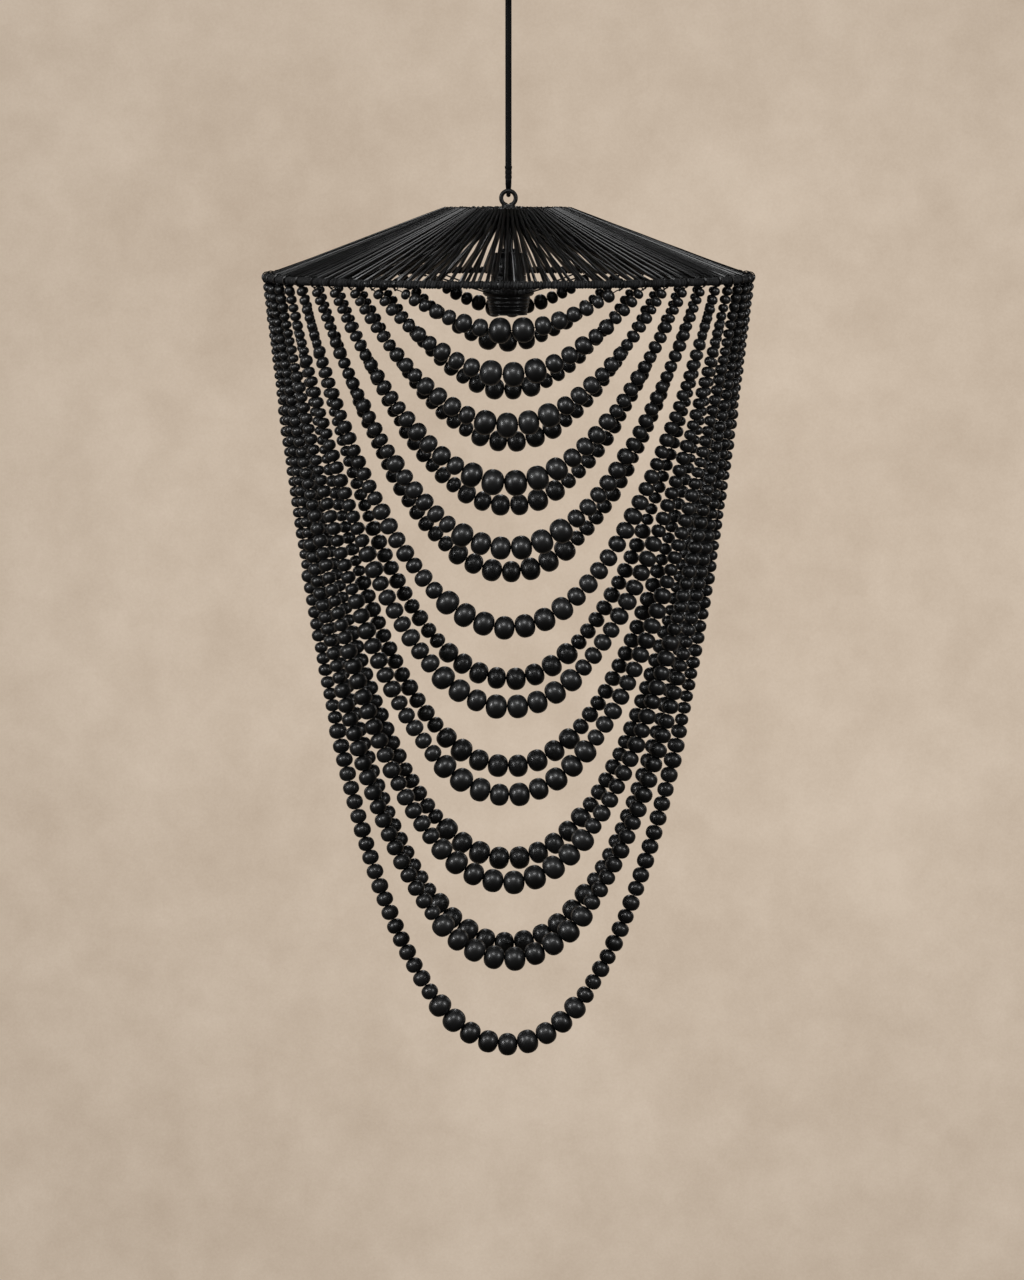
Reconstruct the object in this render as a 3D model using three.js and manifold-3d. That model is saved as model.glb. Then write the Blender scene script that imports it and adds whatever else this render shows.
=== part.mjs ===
// A beaded pendant lamp: a wound cone shade on a wire frame, with bead strands hung from its rim.
// Millimetres, +Z up. The origin is the centre of the ceiling plate's top face.
import * as THREE from 'three';
import Module from 'manifold-3d';
import { mergeVertices } from 'three/addons/utils/BufferGeometryUtils.js';

const wasm = await Module();
wasm.setup();

// Clearances between pieces, and how far a cut passes the face that it opens
const gap = 0.3;
const overrun = 2;

// Ceiling plate and canopy, at the top of the cord
const plateRoom = 2.8;
const plateThickness = 2;
const plateScrewHole = 5;
const plateScrewSpread = 30;
const plateCableHole = 10;
const plateCableOffset = 20;
const tabWidth = 14;
const tabDepth = 13;
const canopyRadius = 50;
const canopyDepth = 28;
const canopyWall = 1.2;
const canopyCorner = 6;
const plateRadius = canopyRadius - canopyWall - plateRoom;
const sideScrewDrop = 8;
const sideScrewShank = 3.4;
const sideScrewHead = 7;
const sideScrewHeadHeight = 2.2;
const sideScrewReach = canopyRadius - plateRadius + 3 * plateThickness;

// Cord grip in the canopy's floor
const gripNeck = 11;
const gripCollar = 17;
const gripCollarHeight = 3;
const gripNose = 12;
const gripNoseTip = 8.4;

// Terminal block and the two cores that reach it
const blockLength = 20;
const blockWidth = 14;
const blockHeight = 10;
const blockRoom = 6.3;
const blockOffset = canopyRadius + gap - sideScrewReach - blockRoom - blockLength;
const blockDrop = 6;
const coreThickness = 2.4;
const coreSpacing = 3.6;

// Pendant cord, its end sleeve and its hook
const ceilingToRim = 328;
const cordThickness = 6;
const cordSwingDegrees = 15;
const cordSwingRoom = 0.2;
const sleeveThickness = 6.8;
const sleeveLength = 12;
const hookWire = 4.6;
const hookBend = 5.6;
const hookOffsetDrop = 11;
const hookWrapDegrees = 60;
const hookTip = 2.4;

// Eye loop that hangs on the hook, and the base that it stands in
const eyeRise = 79.8;
const eyeLoopRadius = 7.7;
const eyeWire = 3.6;
const eyeLegSpacing = 3.9;
const eyeNeckDegrees = 38;
const eyeBaseRadius = 6.5;
const eyeBaseHeight = 4.4;

// Wire frame of the shade: the rims, the spider across the top one, the struts and the holder's stays
const rimRadius = 246;
const rimWire = 7.6;
const topRingRadius = 61;
const topRingRise = 62.6;
const topRingWire = 6.6;
const hubRadius = 14;
const hubThickness = 4;
const spiderArmWidth = 8;
const spiderArmThickness = 3;
const strutWire = 4;
const stayWire = 2.2;
const stayReach = 172;
const stayRoot = -15.5;
const frameArms = 4;

// Cord winding that covers the frame, in bundles that part towards the rim
const windingCord = 2.7;
const windingValley = 1.5;
const bundleCount = 72;
const slitStart = 62;
const slitMargin = 9;
const slitWidth = 5.4;

// Stem tube, nuts and lampholder
const stemThickness = 10;
const stemBore = 6.4;
const nutAcross = 17;
const nutHeight = 3.6;
const holderTop = 24.9;
const capTopRadius = 14.6;
const capRadius = 17.9;
const capShoulder = 11;
const capJoint = 1.6;
const holderWall = 2.2;
const flangeRadius = 26.2;
const flangeTop = -11.1;
const flangeBottom = -19.3;
const flangeRebate = 2.4;
const threadRadius = 20;
const skirtRadius = 22.8;
const skirtMouthRadius = 19.5;
const skirtMouth = -38.6;
const skirtRidge = 0.9;
const skirtRidgeCount = 3;
const shellRadius = 14.2;
const shellWall = 0.6;
const shellLip = 1.2;
const shellMouthRoom = 3;
const insertHeight = 8;
const insertTop = -3;
const contactRadius = 4;
const contactHeight = 2;

// Bead strands. Sizes run from the lowest bead up to the rim, each up to its share of the half strand
const largestBead = 22;
const beadSizeShares = [1, 0.79, 0.63, 0.54, 0.45];
const beadEndShares = [0.115, 0.46, 0.66, 0.85, 1];
const beadPitchShares = [0.89, 0.87, 0.85, 0.84, 0.82];
const shortSwagShare = 0.1;
const smallestFormedBead = 16;
const beadNeckShare = 0.5;
const runFillShare = 0.94;
const runStep = 42;
const threadThickness = 1.6;
const threadShows = 1.4;
const longestDrop = 798;
const frontFirstDegrees = 26;
const frontStepDegrees = 6.1;
const frontDropShares = [0.056, 0.11, 0.173, 0.246, 0.329, 0.431, 0.535, 0.652, 0.77, 0.876];
const backFirstDegrees = 21.5;
const backStepDegrees = 6.8;
const backDropShares = [0.05, 0.095, 0.159, 0.227, 0.311, 0.397, 0.537, 0.649, 0.767, 0.873];

// Facet counts, and how finely the hanging curves are traced and searched
const rimSides = 52;
const fineSides = 20;
const roundSides = 12;
const nutSides = 6;
const wireSides = 6;
const cordSides = 8;
const strandSides = 4;
const cordSteps = 12;
const curveSteps = 240;
const searchRounds = 60;
const leastPull = 1e-4;
const mostPull = 1e3;

const finish = (color, roughness, metalness) =>
  new THREE.MeshStandardMaterial({ color, roughness, metalness });
const materials = {
  bead: finish(0x1b1a19, 0.55, 0),
  winding: finish(0x171716, 0.9, 0),
  wire: finish(0x1c1c1c, 0.5, 0.6),
  holder: finish(0x141414, 0.45, 0),
  brass: finish(0xb08d4a, 0.35, 1),
  ceramic: finish(0xe6e1d6, 0.5, 0),
  cord: finish(0x181818, 0.95, 0),
  canopy: finish(0x1d1d1d, 0.45, 0.4),
  steel: finish(0x8c8c8c, 0.35, 1),
};

// A round body about Z from its outline, given as [radius, height] pairs from bottom to top
function turned(outline, sides) {
  const points = outline.map(([radius, height]) => new THREE.Vector2(radius, height));
  return new THREE.LatheGeometry(points, sides).rotateX(Math.PI / 2);
}

// A hollow round body: the outer outline upwards, then the bore back down to where it began
function turnedShell(outside, inside, sides) {
  return turned([...outside, ...inside, outside[0]], sides);
}

function washer(outerRadius, innerRadius, bottom, top, sides) {
  return turnedShell([[outerRadius, bottom], [outerRadius, top]],
    [[innerRadius, top], [innerRadius, bottom]], sides);
}

function wireRing(radius, wire, around) {
  return new THREE.TorusGeometry(radius, wire / 2, cordSides, around);
}

// How far from the axis the middle of a facet lies on a round body
function flatRadius(radius, sides) {
  return radius * Math.cos(Math.PI / sides);
}

// A straight round bar between two points
function bar(start, end, thickness, sides) {
  const along = end.clone().sub(start);
  const geometry = new THREE.CylinderGeometry(thickness / 2, thickness / 2, along.length(), sides);
  const turn = new THREE.Quaternion().setFromUnitVectors(
    new THREE.Vector3(0, 1, 0), along.clone().normalize());
  const middle = start.clone().add(end).divideScalar(2);
  return geometry.applyQuaternion(turn).translate(middle.x, middle.y, middle.z);
}

// A round wire or cord along a curve
function wireAlong(curve, thickness, sides, steps) {
  const section = new THREE.Shape();
  for (let side = 0; side < sides; side += 1) {
    const angle = (2 * Math.PI * side) / sides;
    const point = [Math.cos(angle) * thickness / 2, Math.sin(angle) * thickness / 2];
    if (side === 0) section.moveTo(...point);
    else section.lineTo(...point);
  }
  section.closePath();
  return new THREE.ExtrudeGeometry(section, { steps, extrudePath: curve, bevelEnabled: false });
}

// A closed surface from points and from faces that list their corners anticlockwise seen from outside
function surface(points, faces) {
  const geometry = new THREE.BufferGeometry();
  const index = faces.flatMap((face) =>
    face.slice(2).flatMap((corner, k) => [face[0], face[k + 1], corner]));
  geometry.setAttribute('position', new THREE.Float32BufferAttribute(points.flat(), 3));
  geometry.setIndex(index);
  geometry.computeVertexNormals();
  return geometry;
}

// A run whose thickness changes along it, in the XZ plane. A stop holds x, z, slope and radius
function taperedRun(stops, sides) {
  const points = stops.flatMap(({ x, z, slope, radius }) =>
    Array.from({ length: sides }, (_, side) => {
      const angle = (2 * Math.PI * side) / sides;
      const up = Math.cos(angle) * radius;
      return [x - Math.sin(slope) * up, Math.sin(angle) * radius, z + Math.cos(slope) * up];
    }));
  const faces = [];
  for (let ring = 0; ring + 1 < stops.length; ring += 1) {
    for (let side = 0; side < sides; side += 1) {
      const here = ring * sides + side;
      const beside = ring * sides + ((side + 1) % sides);
      faces.push([here, here + sides, beside + sides, beside]);
    }
  }
  const last = (stops.length - 1) * sides;
  faces.push(Array.from({ length: sides }, (_, side) => side));
  faces.push(Array.from({ length: sides }, (_, side) => last + sides - 1 - side));
  return surface(points, faces);
}

function solidOf(geometry) {
  const bare = geometry.clone();
  bare.deleteAttribute('normal');
  bare.deleteAttribute('uv');
  const merged = mergeVertices(bare);
  return new wasm.Manifold(new wasm.Mesh({
    numProp: 3,
    vertProperties: Float32Array.from(merged.attributes.position.array),
    triVerts: Uint32Array.from(merged.index.array),
  }));
}

function geometryOf(solid) {
  const { vertProperties, triVerts } = solid.getMesh();
  const geometry = new THREE.BufferGeometry();
  geometry.setAttribute('position', new THREE.BufferAttribute(new Float32Array(vertProperties), 3));
  geometry.setIndex(new THREE.BufferAttribute(new Uint32Array(triVerts), 1));
  return geometry;
}

function cutAway(geometry, cutters) {
  return geometryOf(cutters.reduce((solid, cutter) => solid.subtract(solidOf(cutter)), solidOf(geometry)));
}

function joined(pieces) {
  return geometryOf(pieces.map(solidOf).reduce((whole, piece) => whole.add(piece)));
}

function place(parent, name, geometry, material, position = [0, 0, 0]) {
  const mesh = new THREE.Mesh(geometry, material);
  mesh.name = name;
  mesh.position.set(...position);
  parent.add(mesh);
  return mesh;
}

// Ceiling plate: a disc with a cable hole and screw holes, and two tabs that take the side screws
function ceilingPlate() {
  const disc = turned([[0, -plateThickness], [plateRadius, -plateThickness], [plateRadius, 0], [0, 0]],
    fineSides);
  const tabs = [-1, 1].map((side) =>
    new THREE.BoxGeometry(plateThickness, tabWidth, tabDepth)
      .translate(side * (plateRadius - 2 * plateThickness), 0, -tabDepth / 2));
  const drill = (x, y, hole) =>
    new THREE.CylinderGeometry(hole / 2, hole / 2, plateThickness + 2 * overrun, roundSides)
      .rotateX(Math.PI / 2).translate(x, y, -plateThickness / 2);
  const tapped = new THREE.CylinderGeometry(sideScrewShank / 2 + gap, sideScrewShank / 2 + gap,
    2 * plateRadius, roundSides).rotateZ(Math.PI / 2).translate(0, 0, -sideScrewDrop);
  return cutAway(joined([disc, ...tabs]), [
    drill(0, plateCableOffset, plateCableHole),
    drill(-plateScrewSpread, 0, plateScrewHole),
    drill(plateScrewSpread, 0, plateScrewHole),
    tapped,
  ]);
}

// Canopy: a cup with a rounded lower edge, open at the ceiling, with a hole for the grip's neck
function canopyCup() {
  const cornerSteps = 4;
  const corner = (radius) => Array.from({ length: cornerSteps + 1 }, (_, k) => {
    const angle = (Math.PI / 2) * (k / cornerSteps);
    return [canopyRadius - canopyCorner + Math.sin(angle) * radius,
      canopyCorner - canopyDepth - Math.cos(angle) * radius];
  });
  const neckHole = gripNeck / 2 + gap;
  const cup = turnedShell(
    [[neckHole, -canopyDepth], ...corner(canopyCorner), [canopyRadius, 0]],
    [[canopyRadius - canopyWall, 0], ...corner(canopyCorner - canopyWall).reverse(),
      [neckHole, canopyWall - canopyDepth]], fineSides);
  const sideHoles = new THREE.CylinderGeometry(sideScrewShank / 2 + gap, sideScrewShank / 2 + gap,
    2 * (canopyRadius + overrun), roundSides).rotateZ(Math.PI / 2).translate(0, 0, -sideScrewDrop);
  return cutAway(cup, [sideHoles]);
}

// A side screw pointing along -X, with its head's inner face at x = 0
function sideScrew() {
  return turned([[0, -sideScrewReach], [sideScrewShank / 2, -sideScrewReach], [sideScrewShank / 2, 0],
    [sideScrewHead / 2, 0], [sideScrewHead / 2, sideScrewHeadHeight / 2],
    [sideScrewHead / 3, sideScrewHeadHeight], [0, sideScrewHeadHeight]], roundSides)
    .rotateY(Math.PI / 2);
}

// Cord grip: collar inside the canopy, neck through its floor, tapered nose below, bored for the cord
function cordGrip() {
  const floor = canopyWall - canopyDepth;
  const bore = coreThickness + gap / 2 + gap;
  const tip = -canopyDepth - gripNose;
  return turnedShell(
    [[gripNoseTip / 2, tip], [gripCollar / 2, -canopyDepth - gap - gripCollarHeight],
      [gripCollar / 2, -canopyDepth - gap], [gripNeck / 2, -canopyDepth - gap],
      [gripNeck / 2, floor + gap], [gripCollar / 2, floor + gap],
      [gripCollar / 2, floor + gap + gripCollarHeight]],
    [[bore, floor + gap + gripCollarHeight], [bore, tip]], roundSides);
}

// Terminal block, with a lead-in hole at its end for each core
function terminalBlock() {
  const block = new THREE.BoxGeometry(blockLength, blockWidth, blockHeight);
  const leadIns = [-1, 1].map((side) =>
    new THREE.CylinderGeometry(coreThickness / 2 + gap, coreThickness / 2 + gap,
      blockLength / 2, roundSides)
      .rotateZ(Math.PI / 2).translate(-blockLength / 2, side * coreSpacing, 0));
  return cutAway(block, leadIns);
}

// One core, up out of the grip and over into the terminal block
function core(side) {
  const gripInside = canopyWall - canopyDepth + gap + gripCollarHeight;
  const blockMiddle = -blockDrop - blockHeight / 2;
  const inside = new THREE.Vector3(0, side * coreThickness / 2 + side * gap / 2, gripInside - overrun);
  const rise = new THREE.Vector3(0, inside.y, gripInside + coreThickness);
  const turn = new THREE.Vector3(blockOffset / 4, side * coreSpacing, blockMiddle);
  const end = new THREE.Vector3(blockOffset + overrun, side * coreSpacing, blockMiddle);
  const route = new THREE.CurvePath();
  route.add(new THREE.LineCurve3(inside, rise));
  route.add(new THREE.QuadraticBezierCurve3(rise, new THREE.Vector3(0, inside.y, blockMiddle), turn));
  route.add(new THREE.LineCurve3(turn, end));
  const smooth = new THREE.CatmullRomCurve3(route.getSpacedPoints(wireSides));
  return wireAlong(smooth, coreThickness, wireSides, wireSides + 2);
}

// Pendant cord, taut from the grip to the sleeve, in the lamp's own frame with the rim at z = 0
const eyeTopWire = eyeRise + eyeLoopRadius;
const hookBendCentre = eyeTopWire + hookBend - hookWire / 2 - eyeWire / 2 - gap;
const sleeveBottom = hookBendCentre + hookOffsetDrop;
const sleeveTop = sleeveBottom + sleeveLength;
const cordBottom = sleeveTop + gap;
const cordTop = ceilingToRim - canopyDepth - gripNose
  - cordThickness / 2 * Math.sin(THREE.MathUtils.degToRad(cordSwingDegrees)) - cordSwingRoom;

function pendantCord() {
  const top = new THREE.Vector3(0, 0, cordTop);
  const bottom = new THREE.Vector3(0, 0, cordBottom);
  return wireAlong(new THREE.LineCurve3(top, bottom), cordThickness, cordSides, cordSteps);
}

// Hook: a straight shank in the sleeve, set back to pass behind the eye's wire, then under it
function cordHook() {
  const route = [];
  const offsetSteps = 6;
  const bendSteps = 9;
  const tipSteps = 2;
  route.push([0, sleeveTop]);
  for (let step = 0; step <= offsetSteps; step += 1) {
    const share = step / offsetSteps;
    route.push([hookBend * (1 - Math.cos(Math.PI * share)) / 2, sleeveBottom - hookOffsetDrop * share]);
  }
  const wrap = Math.PI / 2 + THREE.MathUtils.degToRad(hookWrapDegrees);
  for (let step = 1; step <= bendSteps; step += 1) {
    const angle = wrap * (step / bendSteps);
    route.push([hookBend * Math.cos(angle), hookBendCentre - hookBend * Math.sin(angle)]);
  }
  const stops = route.map(([x, z], k) => {
    const before = route[Math.max(k - 1, 0)];
    const after = route[Math.min(k + 1, route.length - 1)];
    const left = route.length - 1 - k;
    const radius = THREE.MathUtils.lerp(hookTip, hookWire, Math.min(left / tipSteps, 1)) / 2;
    return { x, z, slope: Math.atan2(after[1] - before[1], after[0] - before[0]), radius };
  });
  return taperedRun(stops, cordSides).rotateZ(Math.PI / 2);
}

// Eye: one wire bent into a loop, with its two ends side by side in the base
function eyeLoop() {
  const legTop = -eyeLoopRadius;
  const legBottom = topRingRise + hubThickness / 2 + gap + eyeBaseHeight + gap - eyeRise;
  const leg = eyeLegSpacing / 2;
  const opening = THREE.MathUtils.degToRad(eyeNeckDegrees);
  const arcSteps = 10;
  const left = [new THREE.Vector3(-leg, 0, legBottom),
    new THREE.Vector3(-leg, 0, (legBottom + legTop) / 2)];
  const arc = Array.from({ length: arcSteps + 1 }, (_, k) => {
    const angle = -Math.PI / 2 - opening - (2 * Math.PI - 2 * opening) * (k / arcSteps);
    return new THREE.Vector3(Math.cos(angle) * eyeLoopRadius, 0, Math.sin(angle) * eyeLoopRadius);
  });
  const right = left.map((point) => new THREE.Vector3(leg, 0, point.z)).reverse();
  const curve = new THREE.CatmullRomCurve3([...left, ...arc, ...right]);
  return wireAlong(curve, eyeWire, wireSides, 2 * roundSides);
}

// Spider across the top ring: a bored hub with flat arms
function topSpider() {
  const reach = flatRadius(topRingRadius - topRingWire / 2, fineSides) - gap;
  const arms = Array.from({ length: frameArms / 2 }, (_, k) =>
    new THREE.BoxGeometry(2 * reach, spiderArmWidth, spiderArmThickness)
      .rotateZ(armAngle(k)));
  const hub = turned([[0, -hubThickness / 2], [hubRadius, -hubThickness / 2],
    [hubRadius, hubThickness / 2], [0, hubThickness / 2]], roundSides);
  const bore = new THREE.CylinderGeometry(stemThickness / 2 + gap, stemThickness / 2 + gap,
    hubThickness + 2 * overrun, roundSides).rotateX(Math.PI / 2);
  return cutAway(joined([hub, ...arms]), [bore]);
}

function armAngle(k) {
  return (2 * Math.PI * (k + 1 / 2)) / frameArms;
}

// The cone's slope from the top ring's centre line to the rim's, and points set off from it
const slopeRun = new THREE.Vector2(rimRadius - topRingRadius, -topRingRise);
const slopeLength = slopeRun.length();

function onSlope(along, lift) {
  const unit = slopeRun.clone().normalize();
  return [topRingRadius + unit.x * along - unit.y * lift, topRingRise + unit.y * along + unit.x * lift];
}

function around([radius, height], angle) {
  return new THREE.Vector3(Math.cos(angle) * radius, Math.sin(angle) * radius, height);
}

// The struts run between the middles of the two rings' facets, as the arms do
const topSeat = new THREE.Vector2(flatRadius(topRingRadius, fineSides), topRingRise);
const rimSeat = new THREE.Vector2(flatRadius(rimRadius, rimSides), 0);
const strutUnit = rimSeat.clone().sub(topSeat).normalize();

function frameStrut(angle) {
  const start = topSeat.clone().addScaledVector(strutUnit, topRingWire / 2 + gap);
  const end = rimSeat.clone().addScaledVector(strutUnit, -rimWire / 2 - gap);
  return bar(around(start.toArray(), angle), around(end.toArray(), angle), strutWire, wireSides);
}

// A stay from the holder's flange out to the underside of a strut
function holderStay(angle) {
  const under = new THREE.Vector2(strutUnit.y, -strutUnit.x);
  const end = topSeat.clone().lerp(rimSeat, (stayReach - topSeat.x) / (rimSeat.x - topSeat.x))
    .addScaledVector(under, strutWire / 2 + stayWire / 2 + gap);
  const root = new THREE.Vector2(flatRadius(flangeRadius, fineSides) + gap, stayRoot);
  root.x += end.clone().sub(root).normalize().y * stayWire / 2;
  return bar(around(root.toArray(), angle), around(end.toArray(), angle), stayWire, wireSides);
}

// Winding: cord bundles side by side over the cone, closed at both rings, with a slit between
// each two that widens towards the rim
function woundSkin() {
  const points = [];
  const faces = [];
  const step = (2 * Math.PI) / bundleCount;
  const slitEnd = slopeLength - slitMargin;
  const base = (along) => THREE.MathUtils.lerp(topRingWire, rimWire, along / slopeLength) / 2 + gap;
  const add = (along, lift, angle) => {
    points.push(around(onSlope(along, base(along) + lift), angle).toArray());
    return points.length - 1;
  };
  const halfSlit = slitWidth / 2 / onSlope(slitEnd, 0)[0];
  const closedRow = (along) => Array.from({ length: bundleCount }, (_, k) => ({
    edge: add(along, windingValley, k * step),
    ridge: add(along, windingCord, (k + 1 / 2) * step),
    low: add(along, 0, k * step),
  }));
  const rows = [0, slitStart, slopeLength].map(closedRow);
  const open = Array.from({ length: bundleCount }, (_, k) => ({
    left: add(slitEnd, windingValley, k * step + halfSlit),
    ridge: add(slitEnd, windingCord, (k + 1 / 2) * step),
    right: add(slitEnd, windingValley, (k + 1) * step - halfSlit),
    lowLeft: add(slitEnd, 0, k * step + halfSlit),
    lowRight: add(slitEnd, 0, (k + 1) * step - halfSlit),
  }));
  for (let k = 0; k < bundleCount; k += 1) {
    const next = (k + 1) % bundleCount;
    const [top, start, rim] = rows.map((row) => row[k]);
    const [topNext, startNext, rimNext] = rows.map((row) => row[next]);
    const slit = open[k];
    const slitNext = open[next];
    faces.push(
      [top.edge, start.edge, start.ridge, top.ridge],
      [top.ridge, start.ridge, startNext.edge, topNext.edge],
      [start.edge, slit.left, slit.ridge, start.ridge],
      [start.ridge, slit.ridge, slit.right, startNext.edge],
      [slit.left, rim.edge, rim.ridge, slit.ridge],
      [slit.ridge, rim.ridge, rimNext.edge, slit.right],
      [slit.right, rimNext.edge, slitNext.left],
      [top.low, topNext.low, startNext.low, start.low],
      [start.low, startNext.low, slit.lowRight, slit.lowLeft],
      [slit.lowLeft, slit.lowRight, rimNext.low, rim.low],
      [slit.lowRight, slitNext.lowLeft, rimNext.low],
      [start.edge, start.low, slit.lowLeft, slit.left],
      [startNext.edge, slit.right, slit.lowRight, startNext.low],
      [slit.right, slitNext.left, slitNext.lowLeft, slit.lowRight],
      [top.edge, top.ridge, topNext.edge, topNext.low, top.low],
      [rim.low, rimNext.low, rimNext.edge, rim.ridge, rim.edge],
    );
  }
  return surface(points, faces);
}

function hexNut(bottom) {
  const nut = new THREE.CylinderGeometry(nutAcross / 2, nutAcross / 2, nutHeight, nutSides)
    .rotateX(Math.PI / 2);
  const bore = new THREE.CylinderGeometry(stemThickness / 2 + gap, stemThickness / 2 + gap,
    nutHeight + 2 * overrun, roundSides).rotateX(Math.PI / 2);
  return cutAway(nut, [bore]).translate(0, 0, bottom + nutHeight / 2);
}

// Lampholder: domed cap, ribbed skirt, screwed flange ring, and the insert, shell and contact inside
function holderCap() {
  const bore = stemThickness / 2 + gap;
  return turnedShell(
    [[capRadius, capJoint], [capRadius, capShoulder], [capTopRadius, holderTop - holderWall / 2],
      [capTopRadius - holderWall / 2, holderTop]],
    [[bore, holderTop], [bore, holderTop - holderWall], [capTopRadius - holderWall, holderTop - holderWall],
      [capRadius - holderWall, capShoulder], [capRadius - holderWall, capJoint]], fineSides);
}

function holderSkirt() {
  const ridges = [];
  const height = flangeBottom - gap - skirtMouth;
  const bore = shellRadius + gap;
  for (let ridge = 0; ridge < skirtRidgeCount; ridge += 1) {
    const share = (ridge + 1) / (skirtRidgeCount + 1);
    const radius = THREE.MathUtils.lerp(skirtMouthRadius, skirtRadius, share);
    const middle = skirtMouth + height * share;
    ridges.push([radius - skirtRidge, middle - skirtRidge], [radius, middle], [radius - skirtRidge,
      middle + skirtRidge]);
  }
  return turnedShell(
    [[skirtMouthRadius, skirtMouth], ...ridges, [skirtRadius, flangeBottom - gap],
      [threadRadius, flangeBottom - gap], [threadRadius, flangeTop],
      [capRadius, flangeTop + holderWall], [capRadius, capJoint - gap]],
    [[bore, capJoint - gap], [bore, skirtMouth]], fineSides);
}

function holderFlange() {
  const bore = threadRadius + gap;
  return turnedShell(
    [[flangeRadius - flangeRebate, flangeBottom], [flangeRadius, flangeBottom + flangeRebate],
      [flangeRadius, flangeTop - flangeRebate / 2], [flangeRadius - flangeRebate / 2, flangeTop]],
    [[bore, flangeTop], [bore, flangeBottom]], fineSides);
}

function screwShell() {
  const top = insertTop - insertHeight - gap;
  const mouth = skirtMouth + shellMouthRoom;
  const inner = shellRadius - shellWall;
  return turnedShell(
    [[shellRadius - shellLip, mouth], [shellRadius, mouth + shellLip], [shellRadius, top]],
    [[contactRadius + gap + shellWall, top], [contactRadius + gap + shellWall, top - shellWall],
      [inner, top - shellWall], [inner, mouth + shellLip], [inner - shellLip, mouth]], fineSides);
}

// Bead strand: each hangs in a vertical plane as a chain that is heavier where its beads are larger
function beadAt(share, endShares) {
  const group = endShares.findIndex((end) => share <= end);
  const kind = group < 0 ? beadSizeShares.length - 1 : group;
  const size = largestBead * beadSizeShares[kind];
  return { size, pitch: size * beadPitchShares[kind] };
}

// The half curve from the lowest bead up, for a half span and a drop. With a pull q times the half
// strand's weight, the chain's slope at a share of its length is the weight below it over the pull
function hangingCurve(halfSpan, drop, endShares) {
  const weights = [0];
  for (let step = 1; step <= curveSteps; step += 1) {
    const { size } = beadAt((step - 1 / 2) / curveSteps, endShares);
    weights.push(weights[step - 1] + size);
  }
  const total = weights[curveSteps];
  const trace = (pull) => {
    const points = [{ x: 0, z: 0, slope: 0 }];
    for (let step = 1; step <= curveSteps; step += 1) {
      const middle = (weights[step] + weights[step - 1]) / 2 / total;
      const slope = Math.atan(middle / pull);
      const { x, z } = points[step - 1];
      points.push({ x: x + Math.cos(slope) / curveSteps, z: z + Math.sin(slope) / curveSteps, slope });
    }
    return points;
  };
  let slack = leastPull;
  let tight = mostPull;
  for (let round = 0; round < searchRounds; round += 1) {
    const pull = Math.sqrt(slack * tight);
    const end = trace(pull)[curveSteps];
    if (end.x / end.z < halfSpan / drop) slack = pull;
    else tight = pull;
  }
  const shape = trace(Math.sqrt(slack * tight));
  const length = drop / shape[curveSteps].z;
  return (distance) => {
    const place = THREE.MathUtils.clamp(distance / length, 0, 1) * curveSteps;
    const step = Math.min(Math.floor(place), curveSteps - 1);
    const mix = place - step;
    return {
      length,
      x: length * THREE.MathUtils.lerp(shape[step].x, shape[step + 1].x, mix),
      z: length * THREE.MathUtils.lerp(shape[step].z, shape[step + 1].z, mix),
      slope: THREE.MathUtils.lerp(shape[step].slope, shape[step + 1].slope, mix),
    };
  };
}

// Bead centres along the half strand. The last bead stops where it clears the rim above it
function beadPlaces(length, endSlope, endShares) {
  const room = ({ size, pitch }) =>
    Math.max(pitch / 2 + threadShows, (size / 2 + gap) / Math.sin(endSlope));
  const beads = [{ ...beadAt(0, endShares), at: 0 }];
  for (;;) {
    const before = beads[beads.length - 1];
    const bead = beadAt((before.at + before.pitch) / length, endShares);
    const at = before.at + (before.pitch + bead.pitch) / 2;
    if (at + room(bead) > length) break;
    beads.push({ ...bead, at });
  }
  const last = beads[beads.length - 1];
  const stretch = (length - room(last)) / last.at;
  return beads.map((bead) => ({ ...bead, at: bead.at * stretch }));
}

function beadStrand(halfSpan, lowest) {
  const drop = lowest - rimWire / 2;
  const shortness = 1 - lowest / longestDrop;
  const endShares = beadEndShares.map((end, k) => (k === 0 ? end + shortSwagShare * shortness : end));
  const curve = hangingCurve(halfSpan, drop, endShares);
  const { length } = curve(0);
  const { slope: endSlope } = curve(length);
  const beads = beadPlaces(length, endSlope, endShares);
  const stops = [];
  const stop = (at, radius) => stops.push({ ...curve(at), radius });
  let lastRun = 0;
  beads.forEach((bead, k) => {
    const next = beads[k + 1];
    if (bead.size >= smallestFormedBead) {
      stop(bead.at, bead.size / 2);
      if (next) stop((bead.at + next.at) / 2, Math.min(bead.size, next.size) / 2 * beadNeckShare);
      lastRun = bead.at;
    } else if (!next || bead.at - lastRun > runStep || beads[k - 1].size !== bead.size) {
      stop(bead.at, bead.size / 2 * runFillShare);
      lastRun = bead.at;
    }
  });
  const last = beads[beads.length - 1];
  stop(last.at + last.pitch / 2, threadThickness / 2);
  stop(length - (gap + Math.cos(endSlope) * threadThickness / 2) / Math.sin(endSlope), threadThickness / 2);
  const right = stops.map(({ x, z, slope, radius }) => ({ x, z: z - lowest, slope, radius }));
  const left = right.slice(1).reverse().map(({ x, z, slope, radius }) =>
    ({ x: -x, z, slope: -slope, radius }));
  return taperedRun([...left, ...right], strandSides);
}

// Assembly: the ceiling fitting at the origin, and the lamp with its rim's centre below it
const chandelier = new THREE.Group();
const fitting = new THREE.Group();
const lamp = new THREE.Group();
lamp.position.z = -ceilingToRim;
chandelier.add(fitting, lamp);

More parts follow.
